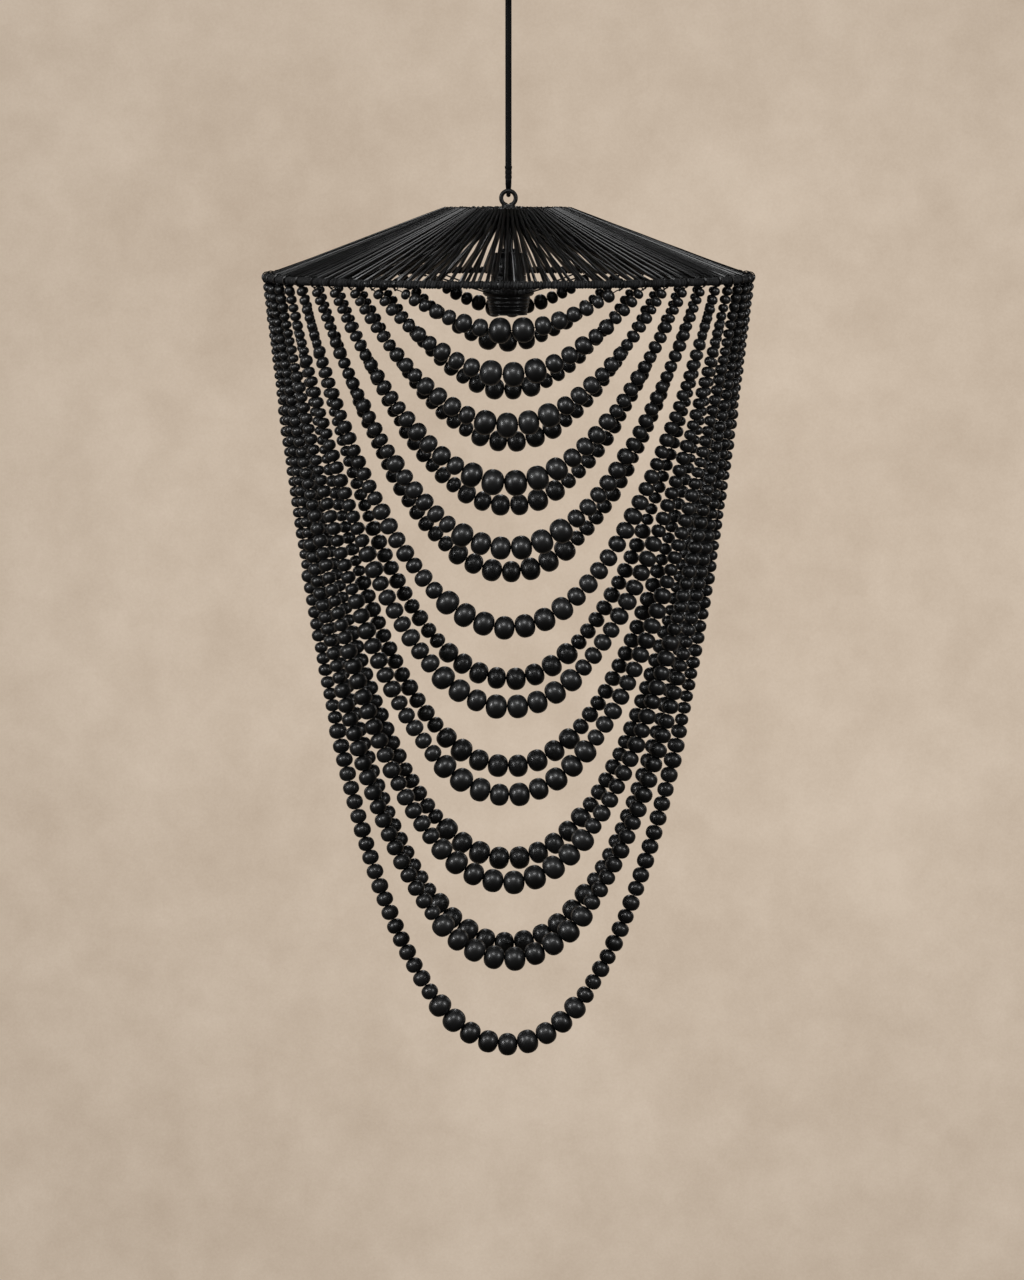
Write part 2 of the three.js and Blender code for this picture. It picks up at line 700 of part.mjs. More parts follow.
place(fitting, 'ceiling_plate', ceilingPlate(), materials.steel);
place(fitting, 'canopy_cup', canopyCup(), materials.canopy);
for (const [name, side] of [['canopy_screw_left', -1], ['canopy_screw_right', 1]]) {
  const screw = place(fitting, name, sideScrew(), materials.steel,
    [side * (canopyRadius + gap), 0, -sideScrewDrop]);
  if (side < 0) screw.rotation.z = Math.PI;
}
place(fitting, 'cord_grip', cordGrip(), materials.holder);
place(fitting, 'terminal_block', terminalBlock(), materials.ceramic,
  [blockOffset + blockLength / 2, 0, -blockDrop - blockHeight / 2]);
place(fitting, 'core_front', core(-1), materials.cord);
place(fitting, 'core_back', core(1), materials.cord);

place(lamp, 'pendant_cord', pendantCord(), materials.cord);
place(lamp, 'cord_sleeve', washer(sleeveThickness / 2, hookWire / 2 + gap, sleeveBottom, sleeveTop,
  roundSides), materials.wire);
place(lamp, 'cord_hook', cordHook(), materials.wire);

place(lamp, 'eye_loop', eyeLoop(), materials.wire, [0, 0, eyeRise]);
const baseBottom = topRingRise + hubThickness / 2 + gap;
place(lamp, 'eye_base', turned([[0, baseBottom], [eyeBaseRadius, baseBottom],
  [eyeBaseRadius, baseBottom + eyeBaseHeight / 2], [eyeBaseRadius / 2 + eyeWire / 2,
    baseBottom + eyeBaseHeight], [0, baseBottom + eyeBaseHeight]], roundSides), materials.wire);
place(lamp, 'top_spider', topSpider(), materials.wire, [0, 0, topRingRise]);
place(lamp, 'top_ring', wireRing(topRingRadius, topRingWire, fineSides), materials.wire,
  [0, 0, topRingRise]);
place(lamp, 'rim_ring', wireRing(rimRadius, rimWire, rimSides), materials.winding);
for (let arm = 0; arm < frameArms; arm += 1) {
  place(lamp, `frame_strut_${arm + 1}`, frameStrut(armAngle(arm)), materials.wire);
  place(lamp, `holder_stay_${arm + 1}`, holderStay(armAngle(arm)), materials.wire);
}
place(lamp, 'wound_shade', woundSkin(), materials.winding);

const stemTop = topRingRise + hubThickness / 2;
place(lamp, 'stem_tube', washer(stemThickness / 2, stemBore / 2, holderTop - 2 * holderWall, stemTop,
  roundSides), materials.wire);
place(lamp, 'hub_nut', hexNut(topRingRise - hubThickness / 2 - gap - nutHeight), materials.wire);
place(lamp, 'cap_nut', hexNut(holderTop + gap), materials.wire);
place(lamp, 'holder_cap', holderCap(), materials.holder);
place(lamp, 'holder_skirt', holderSkirt(), materials.holder);
place(lamp, 'holder_flange', holderFlange(), materials.holder);
place(lamp, 'holder_insert', turned([[0, insertTop - insertHeight], [shellRadius, insertTop
  - insertHeight], [shellRadius, insertTop], [0, insertTop]], fineSides), materials.ceramic);
place(lamp, 'screw_shell', screwShell(), materials.brass);
const contactTop = insertTop - insertHeight - gap;
place(lamp, 'centre_contact', turned([[0, contactTop - contactHeight], [contactRadius / 2,
  contactTop - contactHeight], [contactRadius, contactTop - contactHeight / 2],
[contactRadius, contactTop], [0, contactTop]], roundSides), materials.brass);

// Strands hang from places spaced evenly round the rim, front and back, and one across the middle
const threadRadiusAtRim = (rimRadius + flatRadius(rimRadius, rimSides)) / 2;
for (const [side, name, first, step, shares] of [
  [-1, 'front', frontFirstDegrees, frontStepDegrees, frontDropShares],
  [1, 'back', backFirstDegrees, backStepDegrees, backDropShares],
]) {
  shares.forEach((share, k) => {
    const angle = THREE.MathUtils.degToRad(first + step * k);
    const strand = beadStrand(threadRadiusAtRim * Math.sin(angle), share * longestDrop);
    const number = String(k + 1).padStart(2, '0');
    place(lamp, `strand_${name}_${number}`, strand, materials.bead,
      [0, side * threadRadiusAtRim * Math.cos(angle), 0]);
  });
}
place(lamp, 'strand_centre', beadStrand(threadRadiusAtRim, longestDrop), materials.bead);

export default chandelier;
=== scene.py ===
import functools
import math
import random

import bpy
import numpy as np
from mathutils import Matrix, Vector


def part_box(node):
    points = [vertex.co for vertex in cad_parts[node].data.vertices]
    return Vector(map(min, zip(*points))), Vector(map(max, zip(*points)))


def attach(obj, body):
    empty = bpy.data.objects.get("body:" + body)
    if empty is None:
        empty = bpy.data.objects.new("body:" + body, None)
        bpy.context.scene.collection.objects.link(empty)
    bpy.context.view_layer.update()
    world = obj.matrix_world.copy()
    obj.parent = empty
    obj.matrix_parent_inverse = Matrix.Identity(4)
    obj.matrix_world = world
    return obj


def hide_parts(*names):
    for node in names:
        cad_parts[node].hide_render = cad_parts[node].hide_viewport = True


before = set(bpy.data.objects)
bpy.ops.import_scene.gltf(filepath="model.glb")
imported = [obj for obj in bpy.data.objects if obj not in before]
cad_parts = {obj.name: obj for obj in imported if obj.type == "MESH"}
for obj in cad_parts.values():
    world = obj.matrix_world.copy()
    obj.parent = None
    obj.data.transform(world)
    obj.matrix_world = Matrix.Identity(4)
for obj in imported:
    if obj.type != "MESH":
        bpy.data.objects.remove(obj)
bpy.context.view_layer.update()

MM = 0.001
TURN = 2 * math.pi
UP = Vector((0, 0, 1))
SEED = 7

# Sizes read from the frame
rim_low, rim_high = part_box("rim_ring")
RIM_Z = (rim_low.z + rim_high.z) / 2
RIM_WIRE = rim_high.z - rim_low.z
RIM_RADIUS = rim_high.x - RIM_WIRE / 2
ring_low, ring_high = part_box("top_ring")
RING_Z = (ring_low.z + ring_high.z) / 2
RING_WIRE = ring_high.z - ring_low.z
RING_RADIUS = ring_high.x - RING_WIRE / 2

# Camera: a long lens a little above the rim, tipped down along the strands
LENS = 112.5
SENSOR = 36
CAMERA_PLACE = Vector((3.6 * MM, -4.092, RIM_Z + 128.5 * MM))
CAMERA_TIP_DEGREES = 6.984

# Lighting and backdrop
LAMP_AIM = Vector((0, 0, RIM_Z - 0.35))
LEFT_WATTS = 66
RIGHT_WATTS = 44
TOP_WATTS = 62
OVERHEAD_WATTS = 12
RIM_WATTS = 5
WORLD_STRENGTH = 0.05
FLOOR_Z = -6.6
WALL_RADIUS = 9.5
COVE = 2.5
DOME_TOP = 9.0
WALL_STOPS = ((0.36, (0.532, 0.427, 0.329)), (0.5, (0.597, 0.488, 0.383)), (0.64, (0.664, 0.551, 0.44)))
FAR_WALL_SHARE = 0.42
NEAR_WALL_SHARE = 0.06
TOP_WALL_SHARE = 0.12
FLOOR_GLOW_SHARE = 0.62
# Painted light on the wall: a pool of light brightest at this spot, dimming to the edge share between
# these distances
PAINTED_LIGHT_POOL_CENTRE = (0.5, 9.0, -1.5)
PAINTED_POOL_EDGE_SHARE = 0.86
PAINTED_POOL_FADE = (0.6, 3.2)
BEHIND_Y = (WALL_RADIUS / 3, 0.85 * WALL_RADIUS)
ABOVE_Z = (0, DOME_TOP / 3)
FLOOR_BLEND = (0.2 - FLOOR_Z, WALL_RADIUS - COVE / 2)

# Bead strands, as the frame's strands are graded
FRAME_BEAD = 22 * MM
LARGEST_BEAD = 23.6 * MM
BEAD_SIZE_SHARES = (1, 0.76, 0.62, 0.53, 0.44)
BEAD_END_SHARES = (0.115, 0.46, 0.66, 0.85, 1)
BEAD_PITCH_SHARES = (0.87, 0.86, 0.85, 0.84, 0.82)
FRONT_FULLER_SHARE = 0.045
BEAD_FULLNESS = 2.25
BEAD_SIDES = (24, 22, 20, 18, 16)
BEAD_RINGS = (13, 12, 11, 10, 9)
SHORT_SWAG_SHARE = 0.1
LONGEST_DROP = 798 * MM
BEAD_SIZE_SPREAD_SHARE = 0.035
BEAD_LENGTH_SPREAD_SHARE = 0.02
BEAD_TILT_DEGREES = 5
BEAD_DRIFT = 0.35 * MM
BORE_SHARE = 0.1
THREAD = 1.2 * MM
THREAD_SHOWS = 0.4 * MM
RIM_ROOM = 0.95 * MM
LOOP_SLACK = 0.55 * MM
GAP = 0.3 * MM
TINY = GAP / 10
CURVE_STEPS = 240

# Cord winding of the shade
CORD = 3.3 * MM
CORD_SHARES = (0.86, 1.08)
CORD_TAUT_SHARE = 0.95
RING_LIFT = 6.2 * MM
WINDING_TURNS = 136
RAISED_SHARE = 0.1
UNEVEN_SHARE = 0.42
CLUMP_SHARE = 0.16
RIM_LIFT = 1.1 * MM
RIM_SWELL_SHARE = 0.35
RIM_SWELL_FROM = 0.86
STRAY_SHARE = 0.28
BINDING_CORD = 3 * MM
BINDING_PITCH_SHARE = 0.94
BINDING_SWELL_SHARES = (0.84, 1.06)
BINDING_RADIUS = 4.1 * MM

# Ceiling fitting and wire frame
CANOPY_WALL = 1.2 * MM
DIAGONALS = [math.pi / 4 + k * math.pi / 2 for k in range(4)]


# Geometry helpers
def lerp(a, b, share):
    return a + (b - a) * share


def polar(radius, angle, z=0.0):
    return Vector((math.cos(angle) * radius, math.sin(angle) * radius, z))


def quarter(steps):
    """Angles from 0 to a right angle, both included"""
    return [math.pi / 2 * k / steps for k in range(steps + 1)]


def bounded(draw, spread, most):
    """A normal random number of that spread, no further than most from 0"""
    return max(-most, min(most, draw.gauss(0, spread)))


def placed(name, data):
    """A new object in the scene that holds this data"""
    obj = bpy.data.objects.new(name, data)
    bpy.context.scene.collection.objects.link(obj)
    return obj


def solid(name, points, faces, material):
    """A new mesh object with one material"""
    mesh = bpy.data.meshes.new(name)
    mesh.from_pydata([tuple(p) for p in points], [], faces)
    mesh.materials.append(material)
    return placed(name, mesh)


def smooth(obj, degrees=40):
    """Shades obj smooth, except at edges that turn more than this"""
    obj.data.shade_smooth()
    obj.data.set_sharp_from_angle(angle=math.radians(degrees))


class Builder:
    """Gathers the points and faces of one piece, with each point's place on its own cord or bead"""

    def __init__(self):
        self.points = []
        self.faces = []
        self.lay = []
        self.tone = []

    def add(self, points, faces, lay=None, tone=0.5):
        """Adds one closed form. lay is each point's place on it, and tone its share of light or dark"""
        start = len(self.points)
        self.points.extend(points)
        self.faces.extend([start + corner for corner in face] for face in faces)
        self.lay.extend(lay if lay is not None else points)
        self.tone.extend(tone if isinstance(tone, list) else [tone] * len(points))

    def piece(self, name, material, body, node=None, smooth_degrees=40):
        """Makes the piece, on its body and in place of a node of the frame"""
        obj = solid(name, self.points, self.faces, material)
        lay = obj.data.attributes.new("lay", "FLOAT_VECTOR", "POINT")
        lay.data.foreach_set("vector", np.array([tuple(p) for p in self.lay], np.float32).ravel())
        tone = obj.data.attributes.new("tone", "FLOAT", "POINT")
        tone.data.foreach_set("value", np.array(self.tone, np.float32))
        smooth(obj, smooth_degrees)
        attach(obj, body)
        if node:
            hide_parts(node)
        return obj


def grid_faces(rings, sides, loop=False):
    """Quads between rings of points, and from the last ring to the first where loop is true"""
    faces = []
    for ring in range(rings if loop else rings - 1):
        below = ring * sides
        above = ((ring + 1) % rings) * sides
        for side in range(sides):
            beside = (side + 1) % sides
            faces.append([below + side, below + beside, above + beside, above + side])
    return faces


def tube_faces(rings, sides, loop=False):
    """Faces round a tube, with its two ends closed unless it is a loop"""
    faces = [list(reversed(face)) for face in grid_faces(rings, sides, loop)]
    if not loop:
        faces.append(list(range(sides)))
        faces.append([rings * sides - 1 - side for side in range(sides)])
    return faces


def swept(path, radii, sides, loop=False, flatten=1.0):
    """A round wire or cord along a path of points. Returns points, faces and each point's lay"""
    count = len(path)
    radii = radii if isinstance(radii, (list, tuple)) else [radii] * count
    tangents = []
    for k in range(count):
        before = path[k - 1] if k or loop else path[0]
        after = path[(k + 1) % count] if k + 1 < count or loop else path[-1]
        tangents.append((after - before).normalized())
    side_way = tangents[0].cross(UP)
    if side_way.length < 0.01:
        side_way = tangents[0].cross(Vector((1, 0, 0)))
    side_way.normalize()
    points, lay, along = [], [], 0.0
    for k in range(count):
        if k:
            along += (path[k] - path[k - 1]).length
            side_way = side_way - tangents[k] * side_way.dot(tangents[k])
            side_way.normalize()
        lift_way = tangents[k].cross(side_way)
        for side in range(sides):
            angle = TURN * side / sides
            reach = side_way * math.cos(angle) + lift_way * math.sin(angle) * flatten
            points.append(path[k] + reach * radii[k])
            lay.append((math.cos(angle), math.sin(angle), along))
    return points, tube_faces(count, sides, loop), lay


def smooth_path(points, steps):
    """A smooth curve through the points, with steps places between each two"""
    path = []
    for k in range(len(points) - 1):
        p0 = points[max(k - 1, 0)]
        p1, p2 = points[k], points[k + 1]
        p3 = points[min(k + 2, len(points) - 1)]
        for step in range(steps):
            t = step / steps
            path.append(0.5 * (2 * p1 + (p2 - p0) * t + (2 * p0 - 5 * p1 + 4 * p2 - p3) * t * t
                               + (3 * p1 - p0 - 3 * p2 + p3) * t ** 3))
    path.append(points[-1].copy())
    return path


def filleted(outline, fillet, steps=3):
    """A closed outline of [radius, height] points with its corners rounded off the axis"""
    made = []
    count = len(outline)
    for k, here in enumerate(outline):
        here = Vector(here)
        before = Vector(outline[k - 1])
        after = Vector(outline[(k + 1) % count])
        cut = min(fillet, (before - here).length * 0.45, (after - here).length * 0.45)
        if here.x < TINY or cut <= 0:
            made.append(tuple(here))
            continue
        start = here + (before - here).normalized() * cut
        end = here + (after - here).normalized() * cut
        for step in range(steps + 1):
            t = step / steps
            made.append(tuple(start * (1 - t) ** 2 + here * 2 * t * (1 - t) + end * t * t))
    return made


def revolved(outline, sides, shape=None):
    """A closed outline turned about Z. shape(angle, radius, height) may change a point's radius"""
    points, lay, rings = [], [], []
    for radius, height in outline:
        if radius < TINY:
            rings.append([len(points)] * sides)
            points.append(Vector((0, 0, height)))
            lay.append((1, 0, height))
            continue
        rings.append([len(points) + side for side in range(sides)])
        for side in range(sides):
            angle = TURN * side / sides
            reach = shape(angle, radius, height) if shape else radius
            points.append(polar(reach, angle, height))
            lay.append((math.cos(angle), math.sin(angle), height))
    faces = []
    count = len(rings)
    for k in range(count):
        low, high = rings[k], rings[(k + 1) % count]
        for side in range(sides):
            beside = (side + 1) % sides
            corners = [low[side], low[beside], high[beside], high[side]]
            face = list(dict.fromkeys(corners))
            if len(face) > 2:
                faces.append(face)
    return points, faces, lay


def cut_or_join(obj, others, operation):
    """Cuts the others away from obj or joins them to it, and removes them"""
    for other in others:
        change = obj.modifiers.new("change", "BOOLEAN")
        change.operation = operation
        change.solver = "EXACT"
        change.object = other
    bpy.context.view_layer.update()
    made = bpy.data.meshes.new_from_object(obj.evaluated_get(bpy.context.evaluated_depsgraph_get()))
    obj.modifiers.clear()
    obj.data = made
    for other in others:
        bpy.data.objects.remove(other)


def block(xs, ys, zs):
    """Points and faces of a straight block between two values on each axis"""
    points = [Vector((x, y, z)) for z in zs for y in ys for x in xs]
    faces = [[0, 2, 3, 1], [4, 5, 7, 6], [0, 1, 5, 4], [2, 6, 7, 3], [0, 4, 6, 2], [1, 3, 7, 5]]
    return points, faces


def turned(name, material, node, outline, sides, shape=None, body="lamp", smooth_degrees=40):
    """A piece turned about Z from its closed outline"""
    builder = Builder()
    builder.add(*revolved(outline, sides, shape))
    return builder.piece(name, material, body, node, smooth_degrees)


def bent(name, material, node, path, radii, sides, loop=False, body="lamp"):
    """A piece of wire bent along a path"""
    builder = Builder()
    builder.add(*swept(path, radii, sides, loop))
    builder.piece(name, material, body, node)


# Materials
class Finish:
    """A procedural material: a Principled shader and the nodes that feed it"""

    def __init__(self, name, **values):
        self.material = bpy.data.materials.new(name)
        self.material.use_nodes = True
        self.tree = self.material.node_tree
        self.tree.nodes.clear()
        self.shader = self.node("BsdfPrincipled")
        self.use(**values)
        self.surface = self.node("OutputMaterial").inputs["Surface"]
        self.feed(self.surface, self.shader.outputs["BSDF"])

    def feed(self, socket, value):
        if isinstance(value, bpy.types.NodeSocket):
            self.tree.links.new(value, socket)
        else:
            socket.default_value = value

    def feed_named(self, sockets, values):
        for name, value in values.items():
            self.feed(sockets[name.replace("_", " ")], value)

    def node(self, kind, **inputs):
        made = self.tree.nodes.new("ShaderNode" + kind)
        self.feed_named(made.inputs, inputs)
        return made

    def fed(self, kind, output, values, operation=None):
        """One output of a node whose inputs are fed in order"""
        made = self.node(kind)
        if operation:
            made.operation = operation
        for socket, value in zip(made.inputs, values):
            self.feed(socket, value)
        return made.outputs[output]

    def use(self, **inputs):
        self.feed_named(self.shader.inputs, inputs)
        return self.material

    def attribute(self, name, output):
        made = self.node("Attribute")
        made.attribute_name = name
        return made.outputs[output]

    def math(self, operation, *values):
        return self.fed("Math", "Value", values, operation)

    def weighted(self, *parts):
        """The sum of each value times its share"""
        total = 0.0
        for value, share in parts:
            total = self.math("MULTIPLY_ADD", value, share, total)
        return total

    def place(self):
        return self.node("TexCoord").outputs["Object"]

    def noise(self, scale, detail, rough, place=None, stretch=None):
        """Noise over the object or over another place, stretched where that is asked"""
        place = self.place() if place is None else place
        if stretch:
            place = self.fed("VectorMath", "Vector", (place, stretch), "MULTIPLY")
        made = self.node("TexNoise", Vector=place, Scale=scale, Detail=detail, Roughness=rough)
        return made.outputs["Fac"]

    def ramp(self, value, stops):
        made = self.node("ValToRGB", Fac=value)
        band = made.color_ramp
        while len(band.elements) < len(stops):
            band.elements.new(0.5)
        for element, (place, colour) in zip(band.elements, stops):
            element.position = place
            element.color = (*colour, 1)
        return made.outputs["Color"]

    def spread(self, value, low, high, start=0.0, end=1.0):
        """value from start to end spread over low to high"""
        made = self.node("MapRange", Value=value, From_Min=start, From_Max=end, To_Min=low, To_Max=high)
        return made.outputs["Result"]

    def dress(self, colour, wear, rough, height, depth, strength=0.5):
        """The material with a colour, a roughness that follows wear, and bumps of that depth"""
        normal = self.node("Bump", Height=height, Distance=depth, Strength=strength).outputs["Normal"]
        return self.use(Base_Color=colour, Roughness=self.spread(wear, *rough), Normal=normal)


def stained_wood():
    """Turned wood stained black: fine grain along the bore, with each bead a little lighter or darker"""
    finish = Finish("stained_wood", Specular_IOR_Level=0.5, Coat_Weight=0.3, Coat_Roughness=0.2)
    lay = finish.attribute("lay", "Vector")
    grain = finish.noise(800, 4, 0.6, lay, (0.3, 3, 3))
    patch = finish.noise(150, 3, 0.6, lay)
    shade = finish.weighted((grain, 0.5), (finish.attribute("tone", "Fac"), 0.5))
    colour = finish.ramp(shade, ((0.2, (0.002, 0.0021, 0.0022)), (0.8, (0.0095, 0.0096, 0.0098))))
    height = finish.weighted((grain, 1), (patch, 0.6))
    return finish.dress(colour, patch, (0.38, 0.5), height, 0.07 * MM)


def wound_cord():
    """Waxed fibre cord: faint diagonal plies, fine fuzz and uneven dye, with painted shade darkening the
    grooves between plies
    """
    finish = Finish("wound_cord", Specular_IOR_Level=0.42)
    parts = finish.node("SeparateXYZ", Vector=finish.attribute("lay", "Vector")).outputs
    ply_pitch = 6.8 * MM
    angle = finish.math("ARCTAN2", parts["Y"], parts["X"])
    phase = finish.weighted((angle, 1), (parts["Z"], TURN / ply_pitch))
    ply = finish.math("ABSOLUTE", finish.math("COSINE", phase))
    fuzz = finish.noise(1300, 4, 0.65)
    worn = finish.noise(70, 4, 0.65)
    height = finish.weighted((ply, 0.35), (fuzz, 0.65))
    # Besides the random dye, the colour follows the bump height: painted shade, darker in the ply grooves
    # and where the fuzz dips
    shade = finish.weighted((finish.attribute("tone", "Fac"), 0.4), (worn, 0.3), (height, 0.3))
    colour = finish.ramp(shade, ((0.25, (0.0004, 0.0004, 0.0004)), (0.85, (0.0055, 0.0055, 0.0056))))
    return finish.dress(colour, worn, (0.24, 0.36), height, 0.08 * MM)


def bound_cord():
    """Soft matt yarn bound round the rim, rubbed grey in places"""
    finish = Finish("bound_cord", Specular_IOR_Level=0.3)
    fuzz = finish.noise(620, 4, 0.75, stretch=(1, 1, 0.35))
    worn = finish.noise(90, 4, 0.7)
    shade = finish.weighted((finish.attribute("tone", "Fac"), 0.3), (fuzz, 0.35), (worn, 0.35))
    colour = finish.ramp(shade, ((0.33, (0.002, 0.002, 0.0022)), (0.67, (0.024, 0.024, 0.0245))))
    return finish.dress(colour, fuzz, (0.6, 0.8), fuzz, 0.35 * MM, 0.8)


def braided_textile():
    """Black textile braid over a cable"""
    finish = Finish("braided_textile", Specular_IOR_Level=0.12)
    fuzz = finish.noise(2600, 4, 0.7)
    shade = finish.weighted((fuzz, 0.5), (finish.noise(90, 2, 0.5), 0.5))
    colour = finish.ramp(shade, ((0.3, (0.0006, 0.0006, 0.0007)), (0.7, (0.0036, 0.0036, 0.0037))))
    return finish.dress(colour, fuzz, (0.5, 0.75), fuzz, 0.08 * MM)


def coated_metal(name, dark, light, rough, shine=0.45):
    """Powder-coated metal: fine orange peel, with small dull scuffs"""
    finish = Finish(name, Specular_IOR_Level=shine)
    peel = finish.noise(1400, 2, 0.5)
    scuff = finish.noise(220, 5, 0.7, stretch=(1, 1, 0.4))
    colour = finish.ramp(scuff, ((0.35, (dark, dark, dark)), (0.75, (light, light, light))))
    return finish.dress(colour, scuff, rough, peel, 0.06 * MM)


def moulded_black():
    """Black moulded lampholder, satin with fine flow streaks"""
    finish = Finish("moulded_black", Specular_IOR_Level=0.5, Coat_Weight=0.15, Coat_Roughness=0.2)
    streak = finish.noise(160, 4, 0.6, stretch=(1, 1, 6))
    grain = finish.noise(1900, 2, 0.5)
    colour = finish.ramp(streak, ((0.3, (0.005, 0.005, 0.005)), (0.8, (0.014, 0.014, 0.0145))))
    return finish.dress(colour, streak, (0.26, 0.42), grain, 0.04 * MM)


def bare_metal(name, dark, light):
    """Brushed or drawn bare metal, with faint turning lines and tarnish"""
    finish = Finish(name, Metallic=1.0)
    brush = finish.noise(140, 3, 0.6, stretch=(1, 1, 30))
    colour = finish.ramp(finish.noise(90, 4, 0.6), ((0.3, dark), (0.7, light)))
    return finish.dress(colour, brush, (0.24, 0.42), brush, 0.03 * MM, 0.4)


def glazed_ceramic():
    finish = Finish("glazed_ceramic", Coat_Weight=0.4, Coat_Roughness=0.12)
    speck = finish.noise(420, 4, 0.6)
    colour = finish.ramp(speck, ((0.35, (0.68, 0.65, 0.58)), (0.7, (0.8, 0.77, 0.71))))
    return finish.dress(colour, speck, (0.35, 0.5), speck, 0.05 * MM, 0.4)


def core_sheath():
    finish = Finish("core_sheath", Specular_IOR_Level=0.4)
    speck = finish.noise(500, 3, 0.5)
    colour = finish.ramp(speck, ((0.3, (0.012, 0.012, 0.012)), (0.7, (0.024, 0.024, 0.024))))
    return finish.dress(colour, speck, (0.42, 0.58), speck, 0.03 * MM, 0.4)


def plaster(name):
    """Mottled plaster that camera, gloss and glass see and the world shines through, painted with a pool
    of light that is brightest round one spot. The near side and the top look dim in gloss, and a floor
    also takes the lamps' light and the object's shadow"""
    finish = Finish(name, Roughness=0.9)
    place = finish.place()
    cloud = finish.noise(1.1, 4, 0.62)
    blot = finish.noise(5.5, 5, 0.6)
    speck = finish.noise(110, 5, 0.8)
    colour = finish.ramp(finish.weighted((cloud, 0.38), (blot, 0.34), (speck, 0.28)), WALL_STOPS)
    # Painted pool of light: the glow is brightest round one spot and dims towards the edges
    away = finish.fed("VectorMath", "Value", (place, PAINTED_LIGHT_POOL_CENTRE), "DISTANCE")
    painted_light_pool = finish.spread(away, 1, PAINTED_POOL_EDGE_SHARE, *PAINTED_POOL_FADE)
    where = finish.node("SeparateXYZ", Vector=place).outputs
    behind = finish.spread(where["Y"], NEAR_WALL_SHARE, FAR_WALL_SHARE, *BEHIND_Y)
    above = finish.spread(where["Z"], 1, TOP_WALL_SHARE, *ABOVE_Z)
    rays = finish.node("LightPath").outputs
    camera = rays["Is Camera Ray"]
    lit = finish.math("MAXIMUM", camera, finish.math("MULTIPLY", behind, above))
    strength = finish.math("MULTIPLY", lit, painted_light_pool)
    glow = finish.node("Emission", Color=colour, Strength=strength).outputs["Emission"]
    if name == "plaster_floor":
        finish.use(Base_Color=colour)
        dim = finish.node("Emission", Color=colour, Strength=FLOOR_GLOW_SHARE).outputs["Emission"]
        shaded = finish.fed("AddShader", "Shader", (finish.shader.outputs["BSDF"], dim))
        reach = finish.fed("VectorMath", "Value", (place,), "LENGTH")
        edge = finish.spread(reach, 0, 1, *FLOOR_BLEND)
        share = finish.math("MAXIMUM", edge, finish.math("SUBTRACT", 1, camera))
        glow = finish.fed("MixShader", "Shader", (share, shaded, glow))
    others = finish.math("MAXIMUM", rays["Is Glossy Ray"], rays["Is Transmission Ray"])
    seen = finish.math("MAXIMUM", camera, others)
    clear = finish.node("BsdfTransparent").outputs["BSDF"]
    finish.feed(finish.surface, finish.fed("MixShader", "Shader", (seen, clear, glow)))
    return finish.material


WOOD = stained_wood()
WINDING = wound_cord()
BINDING = bound_cord()
TEXTILE = braided_textile()
WIRE = coated_metal("black_wire", 0.004, 0.014, (0.32, 0.5))
HOOK = coated_metal("black_hook", 0.002, 0.009, (0.36, 0.55), 0.28)
CANOPY = coated_metal("canopy_paint", 0.01, 0.02, (0.34, 0.48))
HOLDER = moulded_black()
BRASS = bare_metal("brass", (0.42, 0.28, 0.09), (0.62, 0.44, 0.17))
STEEL = bare_metal("steel", (0.3, 0.3, 0.3), (0.5, 0.5, 0.5))
CERAMIC = glazed_ceramic()
CORE = core_sheath()


# Camera, lights and backdrop
def make_camera():
    data = bpy.data.cameras.new("camera")
    data.lens = LENS
    data.sensor_width = SENSOR
    camera = placed("camera", data)
    camera.location = CAMERA_PLACE
    camera.rotation_euler = (math.radians(90 - CAMERA_TIP_DEGREES), 0, 0)
    bpy.context.scene.camera = camera


def soft_light(name, place, size, watts):
    data = bpy.data.lights.new(name, "AREA")
    data.shape = "RECTANGLE"
    data.size, data.size_y = size
    data.energy = watts
    light = placed(name, data)
    light.location = place
    light.rotation_euler = (LAMP_AIM - Vector(place)).to_track_quat("-Z", "Y").to_euler()


def make_lights():
    soft_light("left", (-3.0, -1.9, 0.6), (0.7, 1.1), LEFT_WATTS)
    soft_light("right", (2.8, -2.1, 0.7), (0.7, 1.1), RIGHT_WATTS)
    soft_light("top", (-0.4, -3.0, 2.0), (1.5, 1.1), TOP_WATTS)
    soft_light("overhead", (0, 1.9, 1.4), (0.32, 3.4), OVERHEAD_WATTS)
    soft_light("rim_left", (-2.4, 2.5, 0.4), (0.5, 1.6), RIM_WATTS)
    soft_light("rim_right", (2.4, 2.5, 0.4), (0.5, 1.6), RIM_WATTS)
    world = bpy.data.worlds.new("world")
    bpy.context.scene.world = world
    world.use_nodes = True
    background = world.node_tree.nodes["Background"].inputs
    background["Color"].default_value = (1, 1, 1, 1)
    background["Strength"].default_value = WORLD_STRENGTH


def make_backdrop():
    """A pale floor, and a wall that curves up out of it and closes over the top"""
    sides, turns = 96, quarter(12)
    foot = WALL_RADIUS - COVE
    floor = [(0, FLOOR_Z), (foot, FLOOR_Z)]
    cove = [(foot + math.sin(a) * COVE, FLOOR_Z + COVE - math.cos(a) * COVE) for a in turns]
    dome = [(math.cos(a) * WALL_RADIUS, math.sin(a) * DOME_TOP) for a in turns[1:]]
    for name, outline in (("floor", floor), ("backdrop", cove + dome)):
        points = [polar(radius, TURN * side / sides, z) for radius, z in outline for side in range(sides)]
        obj = solid(name, points, grid_faces(len(outline), sides), plaster(f"plaster_{name}"))
        obj.data.shade_smooth()


